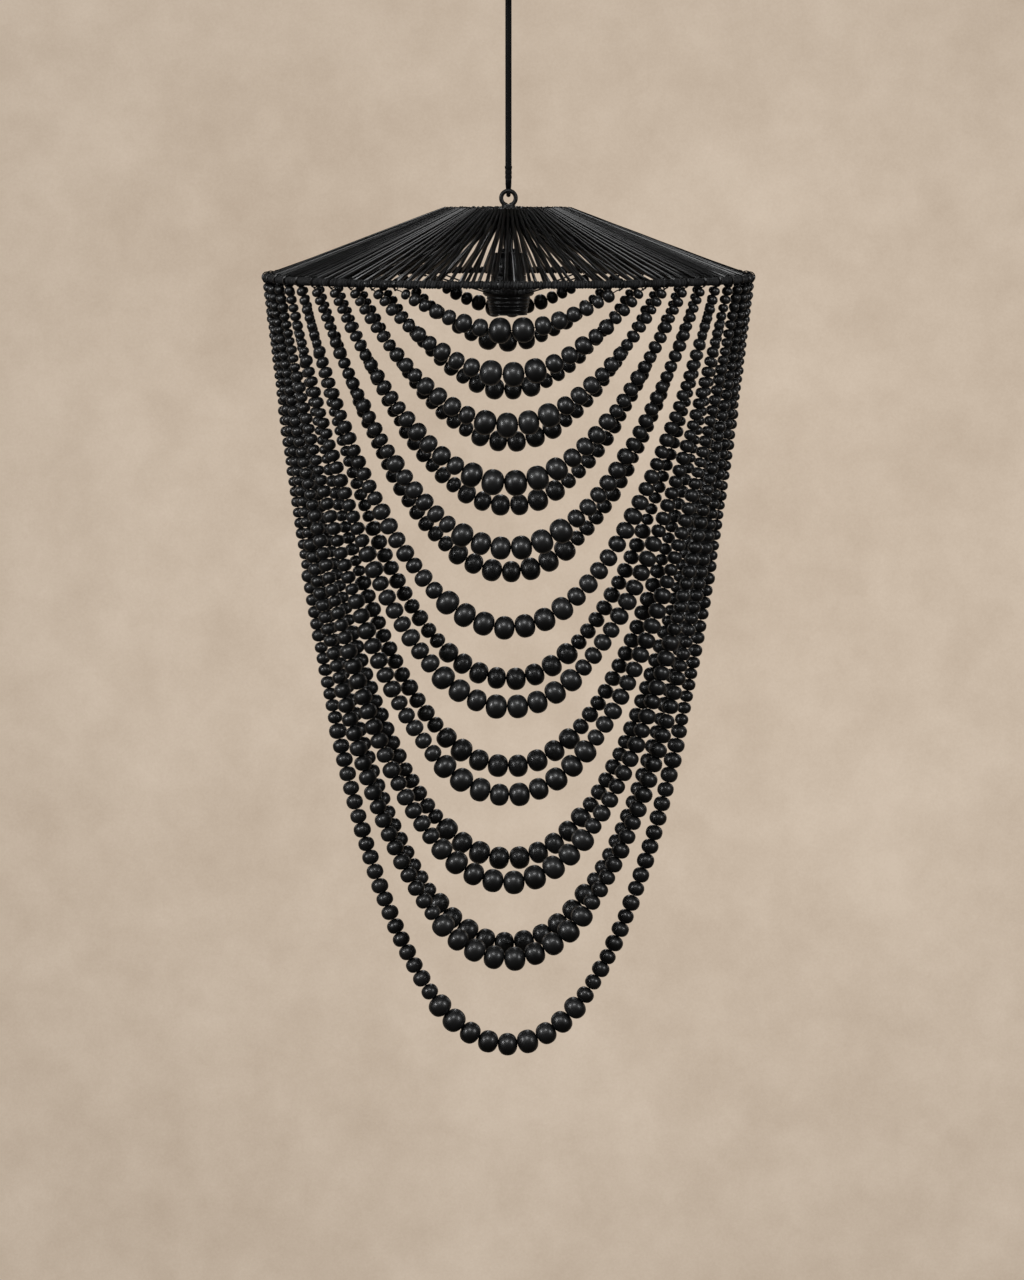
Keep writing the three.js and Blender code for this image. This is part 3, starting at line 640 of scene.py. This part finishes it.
# Pendant cord with its braid, taut between the grip and the sleeve
def make_cord():
    low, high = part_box("pendant_cord")
    thickness = high.x - low.x
    length = high.z - low.z
    yarns, diamond, depth, swell = 12, 1.9 * MM, 0.1 * MM, 0.2 * MM
    sides, rings, route_points = 54, 420, 16

    def braid(angle, z):
        around, along = yarns * angle, TURN * z / diamond
        weave = math.cos(around + along) * math.cos(around - along)
        return polar(thickness / 2 + swell - depth * (0.5 - 0.5 * weave), angle, z)

    heights = [high.z - length * k / (rings - 1) for k in range(rings)]
    points = [braid(TURN * s / sides, z) for z in heights for s in range(sides)]
    builder = Builder()
    builder.add(points, tube_faces(rings, sides))
    cord = builder.piece("pendant_cord_braid", TEXTILE, "cord", "pendant_cord")


# Ceiling fitting
def make_canopy():
    low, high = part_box("canopy_cup")
    radius, depth = high.x, high.z - low.z
    wall, corner, neck = CANOPY_WALL, 6 * MM, 5.8 * MM
    across, down = radius - corner, corner - depth

    def rounded(reach):
        return [(across + math.sin(a) * reach, down - math.cos(a) * reach) for a in quarter(8)]

    lip = [(radius, -wall / 2), (radius - wall / 2, 0), (radius - wall, -wall / 2)]
    inside = rounded(corner - wall)[::-1]
    outline = [(neck, -depth)] + rounded(corner) + lip + inside + [(neck, wall - depth)]
    turned("canopy", CANOPY, "canopy_cup", outline, 96, body="ceiling")


def make_plate():
    """A steel disc with a cable hole and two screw holes, and its two tabs"""
    low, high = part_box("ceiling_plate")
    radius, thickness = high.x, 2 * MM
    tab_width, tab_inset = 14 * MM, 2 * thickness
    outline = filleted([(0, -thickness), (radius, -thickness), (radius, 0), (0, 0)], 0.4 * MM)
    plate = turned("ceiling_plate_disc", STEEL, "ceiling_plate", outline, 72, body="ceiling")
    drills = []
    for x, y, size in ((0, 20 * MM, 10 * MM), (-30 * MM, 0, 5 * MM), (30 * MM, 0, 5 * MM)):
        path = [Vector((x, y, thickness)), Vector((x, y, -3 * thickness))]
        drills.append(solid("cutter", *swept(path, size / 2, 32)[:2], STEEL))
    cut_or_join(plate, drills, "DIFFERENCE")
    for name, side in (("plate_tab_left", -1), ("plate_tab_right", 1)):
        middle = side * (radius - tab_inset)
        builder = Builder()
        builder.add(*block((middle - thickness / 2, middle + thickness / 2),
                           (-tab_width / 2, tab_width / 2), (low.z, -thickness)))
        tab = builder.piece(name, STEEL, "ceiling")
        bevel = tab.modifiers.new("bevel", "BEVEL")
        bevel.width = 0.5 * MM
        bevel.segments = 2


def make_side_screws():
    """Domed screws with a slot across the head"""
    for end in ("left", "right"):
        node = f"canopy_screw_{end}"
        low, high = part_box(node)
        side = 1 if low.x > 0 else -1
        head, shank, rise, slot_half = (high.y - low.y) / 2, 1.7 * MM, 2.2 * MM, 0.45 * MM
        reach = high.x - low.x - rise
        dome = [(head * math.cos(a), rise * (0.35 + 0.65 * math.sin(a))) for a in quarter(6)[:-1]]
        outline = [(0, -reach), (shank, -reach), (shank, 0), (head, 0)] + dome + [(0, rise)]
        face = low.x + reach if side > 0 else high.x - reach
        turn = Matrix.Rotation(side * math.pi / 2, 4, "Y")
        place = Matrix.Translation((face, 0, (low.z + high.z) / 2)) @ turn
        builder = Builder()
        points, faces, lay = revolved(outline, 32)
        builder.add([place @ p for p in points], faces, lay)
        screw = builder.piece(f"side_screw_{end}", STEEL, "ceiling", node)
        corners, faces = block((-slot_half, slot_half), (-head, head), (rise * 0.55, rise * 2))
        cut_or_join(screw, [solid("cutter", [place @ c for c in corners], faces, STEEL)], "DIFFERENCE")


def make_grip():
    """Cord grip: a fluted collar each side of the canopy's floor, and a tapered nose"""
    low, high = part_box("cord_grip")
    collar, neck, tip, bore = high.x, 5.5 * MM, 4.2 * MM, 3.05 * MM
    canopy_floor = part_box("canopy_cup")[0].z
    under = canopy_floor - GAP
    over = canopy_floor + CANOPY_WALL + GAP
    flute_count, flute_depth = 28, 0.35 * MM

    def fluted(angle, radius, height):
        if radius < collar * 0.93:
            return radius
        return radius - flute_depth * (0.5 + 0.5 * math.cos(flute_count * angle))

    outline = filleted([(tip, low.z), (tip + 0.6 * MM, low.z + 4 * MM), (collar * 0.8, under - 3.4 * MM),
                        (collar, under - 3 * MM), (collar, under), (neck, under), (neck, over),
                        (collar, over), (collar, high.z), (bore, high.z), (bore, low.z)], 0.4 * MM)
    turned("cord_grip_body", HOLDER, "cord_grip", outline, 112, fluted, body="ceiling")


# Hook, sleeve and eye
def make_hook():
    """A sleeve with two crimped grooves, and the hook that hangs from it"""
    low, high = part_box("cord_sleeve")
    sleeve, length, groove = high.x, high.z - low.z, 0.2 * MM
    rings = [(sleeve, low.z)]
    for start in (0.2, 0.6):
        for share, depth in ((0, 0), (0.06, groove), (0.14, groove), (0.2, 0)):
            rings.append((sleeve - depth, low.z + length * (start + share)))
    # A thin lip stands round the cord's end, clear of it, so that the cord can turn in it
    bore, seat, lip, lip_wall = 2.6 * MM, 3.3 * MM, 0.7 * MM, 0.4 * MM
    rings += [(seat + lip_wall, high.z - lip), (seat + lip_wall, high.z + lip), (seat, high.z + lip),
              (seat, high.z), (bore, high.z), (bore, low.z)]
    turned("hook_sleeve", TEXTILE, "cord_sleeve", filleted(rings, 0.3 * MM), 48, body="hook")

    shank, wire, tip = 6.2 * MM, 4.6 * MM, 2.8 * MM
    bend, offset, wrap = 5.6 * MM, 11 * MM, math.radians(150)
    centre = low.z - offset
    steps, tapered = 12, 8
    route = [Vector((0, 0, high.z)), Vector((0, 0, (high.z + low.z) / 2))]
    for k in range(steps + 1):
        share = k / steps
        route.append(Vector((0, bend * (1 - math.cos(math.pi * share)) / 2, low.z - offset * share)))
    for k in range(1, 2 * steps + 1):
        angle = wrap * k / (2 * steps)
        route.append(Vector((0, bend * math.cos(angle), centre - bend * math.sin(angle))))
    radii = []
    for k in range(len(route)):
        narrow = min(1, max(0, (k - 1 - 0.6 * steps) / (0.8 * steps)))
        pointed = max(0, k - len(route) + tapered) / tapered
        radii.append(lerp(shank, wire, narrow) / 2 - (wire - tip) / 2 * pointed)
    radii[0] = radii[1] = wire / 2
    bent("hook_wire", HOOK, "cord_hook", route, radii, 20, body="hook")


def make_eye():
    """A wire bent into a loop with its two legs side by side, on a turned foot"""
    low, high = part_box("eye_loop")
    wire, radius, steps = 4.4 * MM, 7.4 * MM, 16
    centre = high.z + 0.5 * MM - wire / 2 - radius
    leg = 0.52 * wire
    opening = math.asin(leg / radius)
    first, sweep = -math.pi / 2 - opening, TURN - 2 * opening
    turns = [first - sweep * k / steps for k in range(steps + 1)]
    arc = [Vector((math.cos(a) * radius, 0, centre + math.sin(a) * radius)) for a in turns]
    left = [Vector((-leg, 0, low.z)), Vector((-leg, 0, lerp(low.z, arc[0].z, 0.5)))]
    right = [Vector((leg, 0, p.z)) for p in reversed(left)]
    bent("eye_wire", HOOK, "eye_loop", smooth_path(left + arc + right, 5), wire / 2, 18)

    low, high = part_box("eye_base")
    base, height, crown = high.x, high.z - low.z, centre - radius + wire * 0.3
    outline = filleted([(0, low.z), (base, low.z), (base, low.z + height * 0.5), (7.2 * MM, high.z),
                        (7 * MM, crown - 0.8 * MM), (5.6 * MM, crown), (0, crown)], 0.7 * MM)
    turned("eye_foot", HOOK, "eye_base", outline, 48)


# Wire frame of the shade
def ring_path(radius, z, count):
    return [polar(radius, TURN * k / count, z) for k in range(count)]


def make_frame():
    """Top ring, spider, four struts, and the thin stays that steady the lampholder"""
    ring = ring_path(RING_RADIUS, RING_Z, 120)
    bent("top_ring_wire", WIRE, "top_ring", ring, RING_WIRE / 2, 16, loop=True)

    low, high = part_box("top_spider")
    thickness, arm, bore, hub, overlap = 3 * MM, 8 * MM, 5.3 * MM, 14 * MM, 2 * MM
    middle = (low.z + high.z) / 2
    outline = filleted([(bore, low.z), (hub, low.z), (hub, high.z), (bore, high.z)], 0.5 * MM)
    spider = turned("spider", WIRE, "top_spider", outline, 56)
    reaches = [lerp(hub - overlap, RING_RADIUS - RING_WIRE / 2, s / 3) for s in range(4)]
    arms = []
    for angle in DIAGONALS:
        path = [polar(1, angle) * reach + UP * middle for reach in reaches]
        arms.append(solid("arm", *swept(path, arm / 2, 16, flatten=thickness / arm)[:2], WIRE))
    cut_or_join(spider, arms, "UNION")
    smooth(spider)

    strut, sink = 4 * MM, 1.7 * MM
    shares = [s / 6 for s in range(7)]
    for number, angle in enumerate(DIAGONALS, 1):
        path = [polar(lerp(RING_RADIUS, RIM_RADIUS, s), angle, lerp(RING_Z, RIM_Z, s) - sink)
                for s in shares]
        bent(f"strut_{number}", WIRE, f"frame_strut_{number}", path, strut / 2, 14)

    stay, flange_edge = 1.6 * MM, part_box("holder_flange")[1].x
    reach, root = 172 * MM, RIM_Z - 15.5 * MM
    strut_z = lerp(RING_Z, RIM_Z, (reach - RING_RADIUS) / (RIM_RADIUS - RING_RADIUS))
    end_z = strut_z - strut / 2 - stay / 2
    bends = ((flange_edge - 1 * MM, root), (flange_edge + 4 * MM, root + 0.4 * MM),
             (lerp(flange_edge, reach, 0.5), lerp(root, end_z, 0.46)), (reach, end_z),
             (reach + 9 * MM, end_z - 3 * MM))
    for number, angle in enumerate(DIAGONALS, 1):
        path = smooth_path([polar(out, angle, z) for out, z in bends], 6)
        bent(f"stay_{number}", WIRE, f"holder_stay_{number}", path, stay / 2, 10)


def threaded(core, depth, pitch):
    """A radius for a screw thread that winds up a round body"""
    def radius_at(angle, z):
        phase = (z / pitch - angle / TURN) % 1
        return core - depth * abs(2 * phase - 1)
    return radius_at


def make_stem_and_nuts():
    low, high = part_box("stem_tube")
    outer, bore, pitch = high.x, 3.2 * MM, 1.5 * MM
    rings = max(2, round((high.z - low.z) / (pitch / 5)))
    thread = threaded(outer, 0.35 * MM, pitch)

    def shaped(angle, radius, height):
        return thread(angle, height) if radius > bore * 1.2 else radius

    outline = [(outer, lerp(low.z, high.z, k / rings)) for k in range(rings + 1)]
    outline += [(bore, high.z), (bore, low.z)]
    turned("stem", WIRE, "stem_tube", outline, 40, shaped)

    for name, node in (("upper_nut", "hub_nut"), ("lower_nut", "cap_nut")):
        low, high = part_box(node)
        corner, chamfer, bore = max(high.x, high.y), 0.6 * MM, 5 * MM
        flat = corner * math.cos(math.pi / 6)

        def hexagon(angle, radius, height):
            if radius < flat * 0.7:
                return radius
            side = flat / math.cos((angle + math.pi / 6) % (math.pi / 3) - math.pi / 6)
            inset = min(height - low.z, high.z - height)
            return min(side, flat + 0.2 * MM + inset * 1.6)

        insets = [0, chamfer / 2, chamfer, 2 * chamfer]
        outline = [(corner, low.z + inset) for inset in insets]
        outline += [(corner, high.z - inset) for inset in insets[::-1]] + [(bore, high.z), (bore, low.z)]
        turned(name, WIRE, node, outline, 96, hexagon, smooth_degrees=25)


# Lampholder
def make_holder():
    """Domed cap, ribbed skirt with a threaded neck, and knurled ring"""
    low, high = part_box("holder_cap")
    wide, top, wall = high.x, 14.6 * MM, 2.2 * MM
    shoulder, bore = RIM_Z + 11 * MM, 5.3 * MM
    outline = filleted([(wide, low.z), (wide, shoulder), (top, high.z - 1 * MM), (top - 1.6 * MM, high.z),
                        (bore, high.z), (bore, high.z - wall), (top - wall, high.z - wall),
                        (wide - wall, shoulder), (wide - wall, low.z)], 1.5 * MM, 5)
    turned("lampholder_cap", HOLDER, "holder_cap", outline, 80)

    low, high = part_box("holder_skirt")
    flange_low, flange_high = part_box("holder_flange")
    mouth, skirt_top, skirt = 19.5 * MM, flange_low.z - GAP, 22.8 * MM
    thread, plain, bore = 20 * MM, 17.9 * MM, 14.5 * MM
    ridges, ridge = 4, 0.85 * MM
    samples, neck_steps = 44, 30
    ribbed = []
    for k in range(1, samples + 1):
        share = k / samples
        wave = 0.5 + 0.5 * math.cos(TURN * share * (ridges + 0.5))
        ribbed.append((lerp(mouth, skirt, share) - ridge * (1 - wave ** 3),
                       lerp(low.z, skirt_top, share)))
    neck = [(thread, lerp(skirt_top, high.z, k / neck_steps)) for k in range(1, neck_steps + 1)]
    winding = threaded(thread, 0.55 * MM, 2.2 * MM)
    cap_low = flange_high.z + 2 * MM

    def shaped(angle, radius, height):
        if abs(radius - thread) >= TINY:
            return radius
        if height < cap_low:
            return winding(angle, height)
        return lerp(thread, plain, min(1, (height - cap_low) / (3 * MM)))

    outline = [(bore, low.z), (mouth - 0.8 * MM, low.z)] + ribbed + [(thread + 0.1 * MM, skirt_top)]
    outline += neck + [(bore, high.z)]
    turned("lampholder_skirt", HOLDER, "holder_skirt", outline, 88, shaped)

    low, high = flange_low, flange_high
    edge, bore = high.x, 20.3 * MM
    flutes, flute = 40, 0.4 * MM

    def knurled(angle, radius, height):
        if radius < edge - 0.5 * MM:
            return radius
        return radius - flute * (0.5 + 0.5 * math.cos(flutes * angle)) ** 2

    outline = filleted([(bore, low.z), (edge - 2.4 * MM, low.z), (edge, low.z + 2.4 * MM),
                        (edge, high.z - 1.2 * MM), (edge - 1.2 * MM, high.z), (bore, high.z)], 0.6 * MM)
    turned("lampholder_ring", HOLDER, "holder_flange", outline, 160, knurled)


def make_socket():
    """Ceramic insert, threaded brass shell and centre contact"""
    low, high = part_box("holder_insert")
    radius, step = high.x, 0.8 * MM
    outline = filleted([(0, low.z), (radius * 0.42, low.z), (radius * 0.5, low.z + step),
                        (radius - 1 * MM, low.z + step), (radius, low.z), (radius, high.z), (0, high.z)],
                       0.4 * MM)
    turned("socket_insert", CERAMIC, "holder_insert", outline, 56)

    low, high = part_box("screw_shell")
    outer, wall, opening = 14.2 * MM, 0.5 * MM, 5 * MM
    pitch, swell, faded, steps = 3.6 * MM, 0.55 * MM, 2 * MM, 56

    def formed(angle, radius, height):
        if radius < outer - 3 * wall:
            return radius
        fade = min(1, (height - low.z) / faded, (high.z - height) / faded)
        return radius - swell * fade * (0.5 + 0.5 * math.cos(TURN * height / pitch - angle))

    wall_out = [(outer, lerp(low.z, high.z, k / steps)) for k in range(steps + 1)]
    wall_in = [(outer - wall, lerp(high.z - wall, low.z, k / steps)) for k in range(steps + 1)]
    outline = wall_out + [(opening, high.z), (opening, high.z - wall)] + wall_in
    turned("socket_shell", BRASS, "screw_shell", outline, 64, formed)

    low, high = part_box("centre_contact")
    outline = filleted([(0, low.z), (high.x * 0.5, low.z), (high.x, low.z + (high.z - low.z) / 2),
                        (high.x, high.z), (0, high.z)], 0.5 * MM)
    turned("socket_contact", BRASS, "centre_contact", outline, 40)


# Cord winding and the rim's binding
def make_winding():
    """Each turn of cord runs down the outside of the cone, round the rim and back up the inside"""
    draw = random.Random(SEED)
    builder = Builder()
    step = TURN / WINDING_TURNS
    slope = Vector((RIM_RADIUS - RING_RADIUS, RIM_Z - RING_Z)).normalized()
    outside = math.atan2(slope.x, -slope.y)
    inside = outside - math.pi
    runs, bends = 9, [k / 7 for k in range(1, 7)]
    top_stray, rim_stray, lie, unround = 0.05, 0.08, 0.07 * MM, 0.015

    def at_ring(raised, way, turn):
        reach = RING_LIFT + raised
        return polar(RING_RADIUS + math.cos(way) * reach, turn, RING_Z + math.sin(way) * reach)

    def at_rim(way, turn):
        return polar(RIM_RADIUS + math.cos(way) * RIM_LIFT, turn, RIM_Z + math.sin(way) * RIM_LIFT)

    def straight(start, end):
        """A taut run between two points, a little uneven"""
        return [start.lerp(end, s / (runs - 1)) + UP * draw.gauss(0, lie) for s in range(runs)]

    for k in range(WINDING_TURNS):
        thickness = CORD * draw.uniform(*CORD_SHARES)
        raised = ((k % 2) * RAISED_SHARE + draw.uniform(0, UNEVEN_SHARE)) * CORD
        clump = CLUMP_SHARE * (math.sin(2.4 * k) + 0.6 * math.sin(0.9 * k + 1))
        top = (k + draw.gauss(0, top_stray)) * step
        rim = (k + clump + draw.gauss(0, rim_stray)) * step
        rim_back = (k + 0.5 + clump / 2 + draw.gauss(0, STRAY_SHARE)) * step
        top_back = (k + 0.5) * step
        path = straight(at_ring(raised, outside, top), at_rim(outside, rim))
        path += [at_rim(outside - math.pi * s, lerp(rim, rim_back, s)) for s in bends]
        path += straight(at_rim(inside, rim_back), at_ring(0, inside, top_back))
        path += [at_ring(raised * s, inside - math.pi * s, lerp(top_back, (k + 1) * step, s))
                 for s in bends]
        radii = []
        for point in path:
            out = math.hypot(point.x, point.y) / RIM_RADIUS
            swell = RIM_SWELL_SHARE * max(0, (out - RIM_SWELL_FROM) / (1 - RIM_SWELL_FROM))
            radii.append(thickness / 2 * (CORD_TAUT_SHARE + swell + draw.gauss(0, unround)))
        builder.add(*swept(path, radii, 8), draw.random())
    builder.piece("cone_winding", WINDING, "lamp", "wound_shade")


def make_rim():
    """The rim: a wire ring bound with soft yarn over the ends of the winding, turn beside uneven turn"""
    draw = random.Random(SEED + 1)
    turns = round(TURN * RIM_RADIUS / (BINDING_CORD * BINDING_PITCH_SHARE))
    steps, sides = 12, 8
    reach = BINDING_RADIUS - BINDING_CORD / 2
    wobble = [bounded(draw, 0.2 * MM, 0.3 * MM) for _ in range(turns + 1)]
    slide = [draw.gauss(0, 0.13) for _ in range(turns + 1)]
    swell = [draw.uniform(*BINDING_SWELL_SHARES) for _ in range(turns + 1)]
    tones = [draw.random() for _ in range(turns + 1)]
    path, radii, shades = [], [], []

    def between(values):
        """The value at this share of the way from one turn to the next"""
        return lerp(values[turn], values[turn + 1], share)

    for k in range(turns * steps):
        turn, part = divmod(k, steps)
        share = part / steps
        angle = TURN * (turn + share + between(slide)) / turns
        out = reach + between(wobble)
        over = TURN * share
        path.append(polar(RIM_RADIUS + math.cos(over) * out, angle, RIM_Z + math.sin(over) * out))
        radii.append(BINDING_CORD / 2 * between(swell))
        shades.extend([between(tones)] * sides)
    builder = Builder()
    builder.add(*swept(path, radii, sides, loop=True), shades)
    builder.add(*swept(ring_path(RIM_RADIUS, RIM_Z, 200), reach, 12, loop=True), 0.1)
    builder.piece("rim_binding", BINDING, "lamp", "rim_ring")


# Bead strands
def bead_at(share, end_shares):
    kind = next((k for k, end in enumerate(end_shares) if share <= end), len(BEAD_SIZE_SHARES) - 1)
    size = LARGEST_BEAD * BEAD_SIZE_SHARES[kind]
    return kind, size, size * BEAD_PITCH_SHARES[kind]


def hanging_curve(half_span, drop, end_shares):
    """The half curve of a chain that is heavier where its beads are larger, from its lowest point up"""
    weights = [0.0]
    for step in range(1, CURVE_STEPS + 1):
        size = bead_at((step - 0.5) / CURVE_STEPS, end_shares)[1]
        weights.append(weights[-1] + size)
    middles = [(weights[s] + weights[s + 1]) / 2 / weights[-1] for s in range(CURVE_STEPS)]

    def trace(pull):
        points = [(0.0, 0.0, 0.0)]
        for middle in middles:
            slope = math.atan(middle / pull)
            x, z, _ = points[-1]
            points.append((x + math.cos(slope) / CURVE_STEPS, z + math.sin(slope) / CURVE_STEPS, slope))
        return points

    slack, tight = 1e-4, 1e3
    for _ in range(60):
        pull = math.sqrt(slack * tight)
        x, z, _ = trace(pull)[-1]
        if x / z < half_span / drop:
            slack = pull
        else:
            tight = pull
    shape = trace(math.sqrt(slack * tight))
    length = drop / shape[-1][1]

    def at(distance):
        place = min(max(distance / length, 0), 1) * CURVE_STEPS
        step = min(int(place), CURVE_STEPS - 1)
        mix = place - step
        x, z, slope = (lerp(a, b, mix) for a, b in zip(shape[step], shape[step + 1]))
        return x * length, z * length, slope

    return length, at


def graded_beads(length, end_slope, end_shares, fuller, draw):
    """Beads from one end of a strand to the other: place from its lowest point, kind, size and length"""
    def bead(place):
        kind, size, pitch = bead_at(abs(place) / length, end_shares)
        scale = fuller * (1 + bounded(draw, 1, 2) * BEAD_SIZE_SPREAD_SHARE)
        long = pitch * scale * (1 + bounded(draw, 1, 2) * BEAD_LENGTH_SPREAD_SHARE)
        return {"kind": kind, "size": size * scale, "long": long}

    def room(one):
        return max(one["long"] / 2 + THREAD_SHOWS, (one["size"] / 2 + RIM_ROOM) / math.sin(end_slope))

    beads = [bead(-length)]
    beads[0]["at"] = room(beads[0]) - length
    while True:
        before = beads[-1]
        new = bead(before["at"] + before["long"])
        new["at"] = before["at"] + (before["long"] + new["long"]) / 2
        if new["at"] + room(new) > length:
            break
        beads.append(new)
    start, end = beads[0]["at"], beads[-1]["at"]
    stretch = (length - room(beads[-1]) - start) / (end - start)
    for one in beads:
        one["at"] = start + (one["at"] - start) * stretch
        one["long"] *= min(stretch, 1)
    return beads


@functools.cache
def bead_form(kind):
    """A unit bead about X: a round body a little fuller than an oval, drilled through"""
    sides, rings = BEAD_SIDES[kind], BEAD_RINGS[kind]
    hole = math.asin((2 * BORE_SHARE) ** (BEAD_FULLNESS / 2))
    points = []
    for ring in range(rings):
        angle = hole + (math.pi - 2 * hole) * ring / (rings - 1)
        along = -math.copysign(abs(math.cos(angle)) ** (2 / BEAD_FULLNESS), math.cos(angle)) / 2
        reach = math.sin(angle) ** (2 / BEAD_FULLNESS) / 2
        for side in range(sides):
            turn = TURN * side / sides
            points.append((along, math.cos(turn) * reach, math.sin(turn) * reach))
    return np.array(points), np.array(tube_faces(rings, sides, loop=True))


def rim_loops(end, radial, draw):
    """Thread wound close round the bound rim above a strand's end"""
    loops, steps, pitch, stray = 1.5, 14, THREAD * 1.05, 0.08 * MM
    reach = BINDING_RADIUS + THREAD / 2 + LOOP_SLACK
    tangent = UP.cross(radial)
    path = []
    for k in range(round(loops * steps) + 1):
        angle = -math.pi / 2 + TURN * k / steps
        along = (k / steps - loops / 2) * pitch + draw.uniform(-stray, stray)
        path.append(end + (radial * math.cos(angle) + UP * math.sin(angle)) * reach + tangent * along)
    return path


def make_strand(node, number):
    """One strand: its graded beads, and the thread through them with its loops on the rim"""
    low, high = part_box(node)
    plane = (low.y + high.y) / 2
    half_span = math.sqrt(max(RIM_RADIUS ** 2 - plane ** 2, 0))
    lowest = RIM_Z - low.z - FRAME_BEAD / 2
    drop = lowest - RIM_WIRE / 2
    bottom = RIM_Z - lowest
    first_end, *other_ends = BEAD_END_SHARES
    end_shares = [first_end + SHORT_SWAG_SHARE * (1 - lowest / LONGEST_DROP), *other_ends]
    length, at = hanging_curve(half_span, drop, end_shares)
    draw = random.Random(SEED * 100 + number)
    points, faces, lay, tones, start = [], [], [], [], 0
    tilt = math.radians(BEAD_TILT_DEGREES) / 2
    fuller = 1 - FRONT_FULLER_SHARE * plane / RIM_RADIUS
    for one in graded_beads(length, at(length)[2], end_shares, fuller, draw):
        side = math.copysign(1, one["at"])
        x, z, slope = at(abs(one["at"]))
        form, form_faces = bead_form(one["kind"])
        turn = (Matrix.Rotation(-side * slope, 3, "Y") @ Matrix.Rotation(draw.gauss(0, tilt), 3, "Z")
                @ Matrix.Rotation(draw.gauss(0, tilt), 3, "Y")
                @ Matrix.Rotation(draw.uniform(0, TURN), 3, "X"))
        scaled = form * (one["long"], one["size"], one["size"])
        up = draw.uniform(-1, 1) * BEAD_DRIFT
        back = draw.uniform(-1, 1) * BEAD_DRIFT
        points.append(scaled @ np.array(turn).T + (side * x, plane + back, bottom + z + up))
        lay.append(scaled + [draw.uniform(0, 1) for _ in range(3)])
        tones.append(np.full(len(form), draw.random()))
        faces.extend((form_faces + start).tolist())
        start += len(form)
    builder = Builder()
    builder.points = np.concatenate(points).tolist()
    builder.faces = faces
    builder.lay = np.concatenate(lay).tolist()
    builder.tone = np.concatenate(tones).tolist()
    label = node.removeprefix("strand_")
    builder.piece(f"beads_{label}", WOOD, node, node, smooth_degrees=60)

    steps = max(24, round(length / (12 * MM)))
    halves = [at(length * k / steps) for k in range(steps)]
    middle = [Vector((-x, plane, bottom + z)) for x, z, _ in halves[:0:-1]]
    middle += [Vector((x, plane, bottom + z)) for x, z, _ in halves]
    ends = [Vector((side * half_span, plane, RIM_Z)) for side in (-1, 1)]
    loops = [rim_loops(end, Vector((end.x, end.y, 0)).normalized(), draw) for end in ends]
    builder = Builder()
    builder.add(*swept(loops[0][::-1] + middle + loops[1], THREAD / 2, 6))
    form, form_faces = bead_form(len(BEAD_SIZE_SHARES) - 1)
    for loop in loops:
        knot = loop[0] - UP * THREAD * 0.3
        builder.add([knot + Vector(p) * (THREAD * 2) for p in form], form_faces.tolist())
    builder.piece(f"thread_{label}", WINDING, node)


def finish_kept_nodes():
    """CAD nodes that stay as they are, inside the canopy"""
    for node, material in (("terminal_block", CERAMIC), ("core_front", CORE), ("core_back", CORE)):
        for material_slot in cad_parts[node].material_slots:
            material_slot.material = material


bpy.context.scene.view_settings.view_transform = "Standard"
make_camera()
make_cord()
make_lights()
make_backdrop()
make_canopy()
make_plate()
make_side_screws()
make_grip()
make_hook()
make_eye()
make_frame()
make_stem_and_nuts()
make_holder()
make_socket()
make_winding()
make_rim()
for strand_number, strand_node in enumerate(sorted(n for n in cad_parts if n.startswith("strand_"))):
    make_strand(strand_node, strand_number)
finish_kept_nodes()
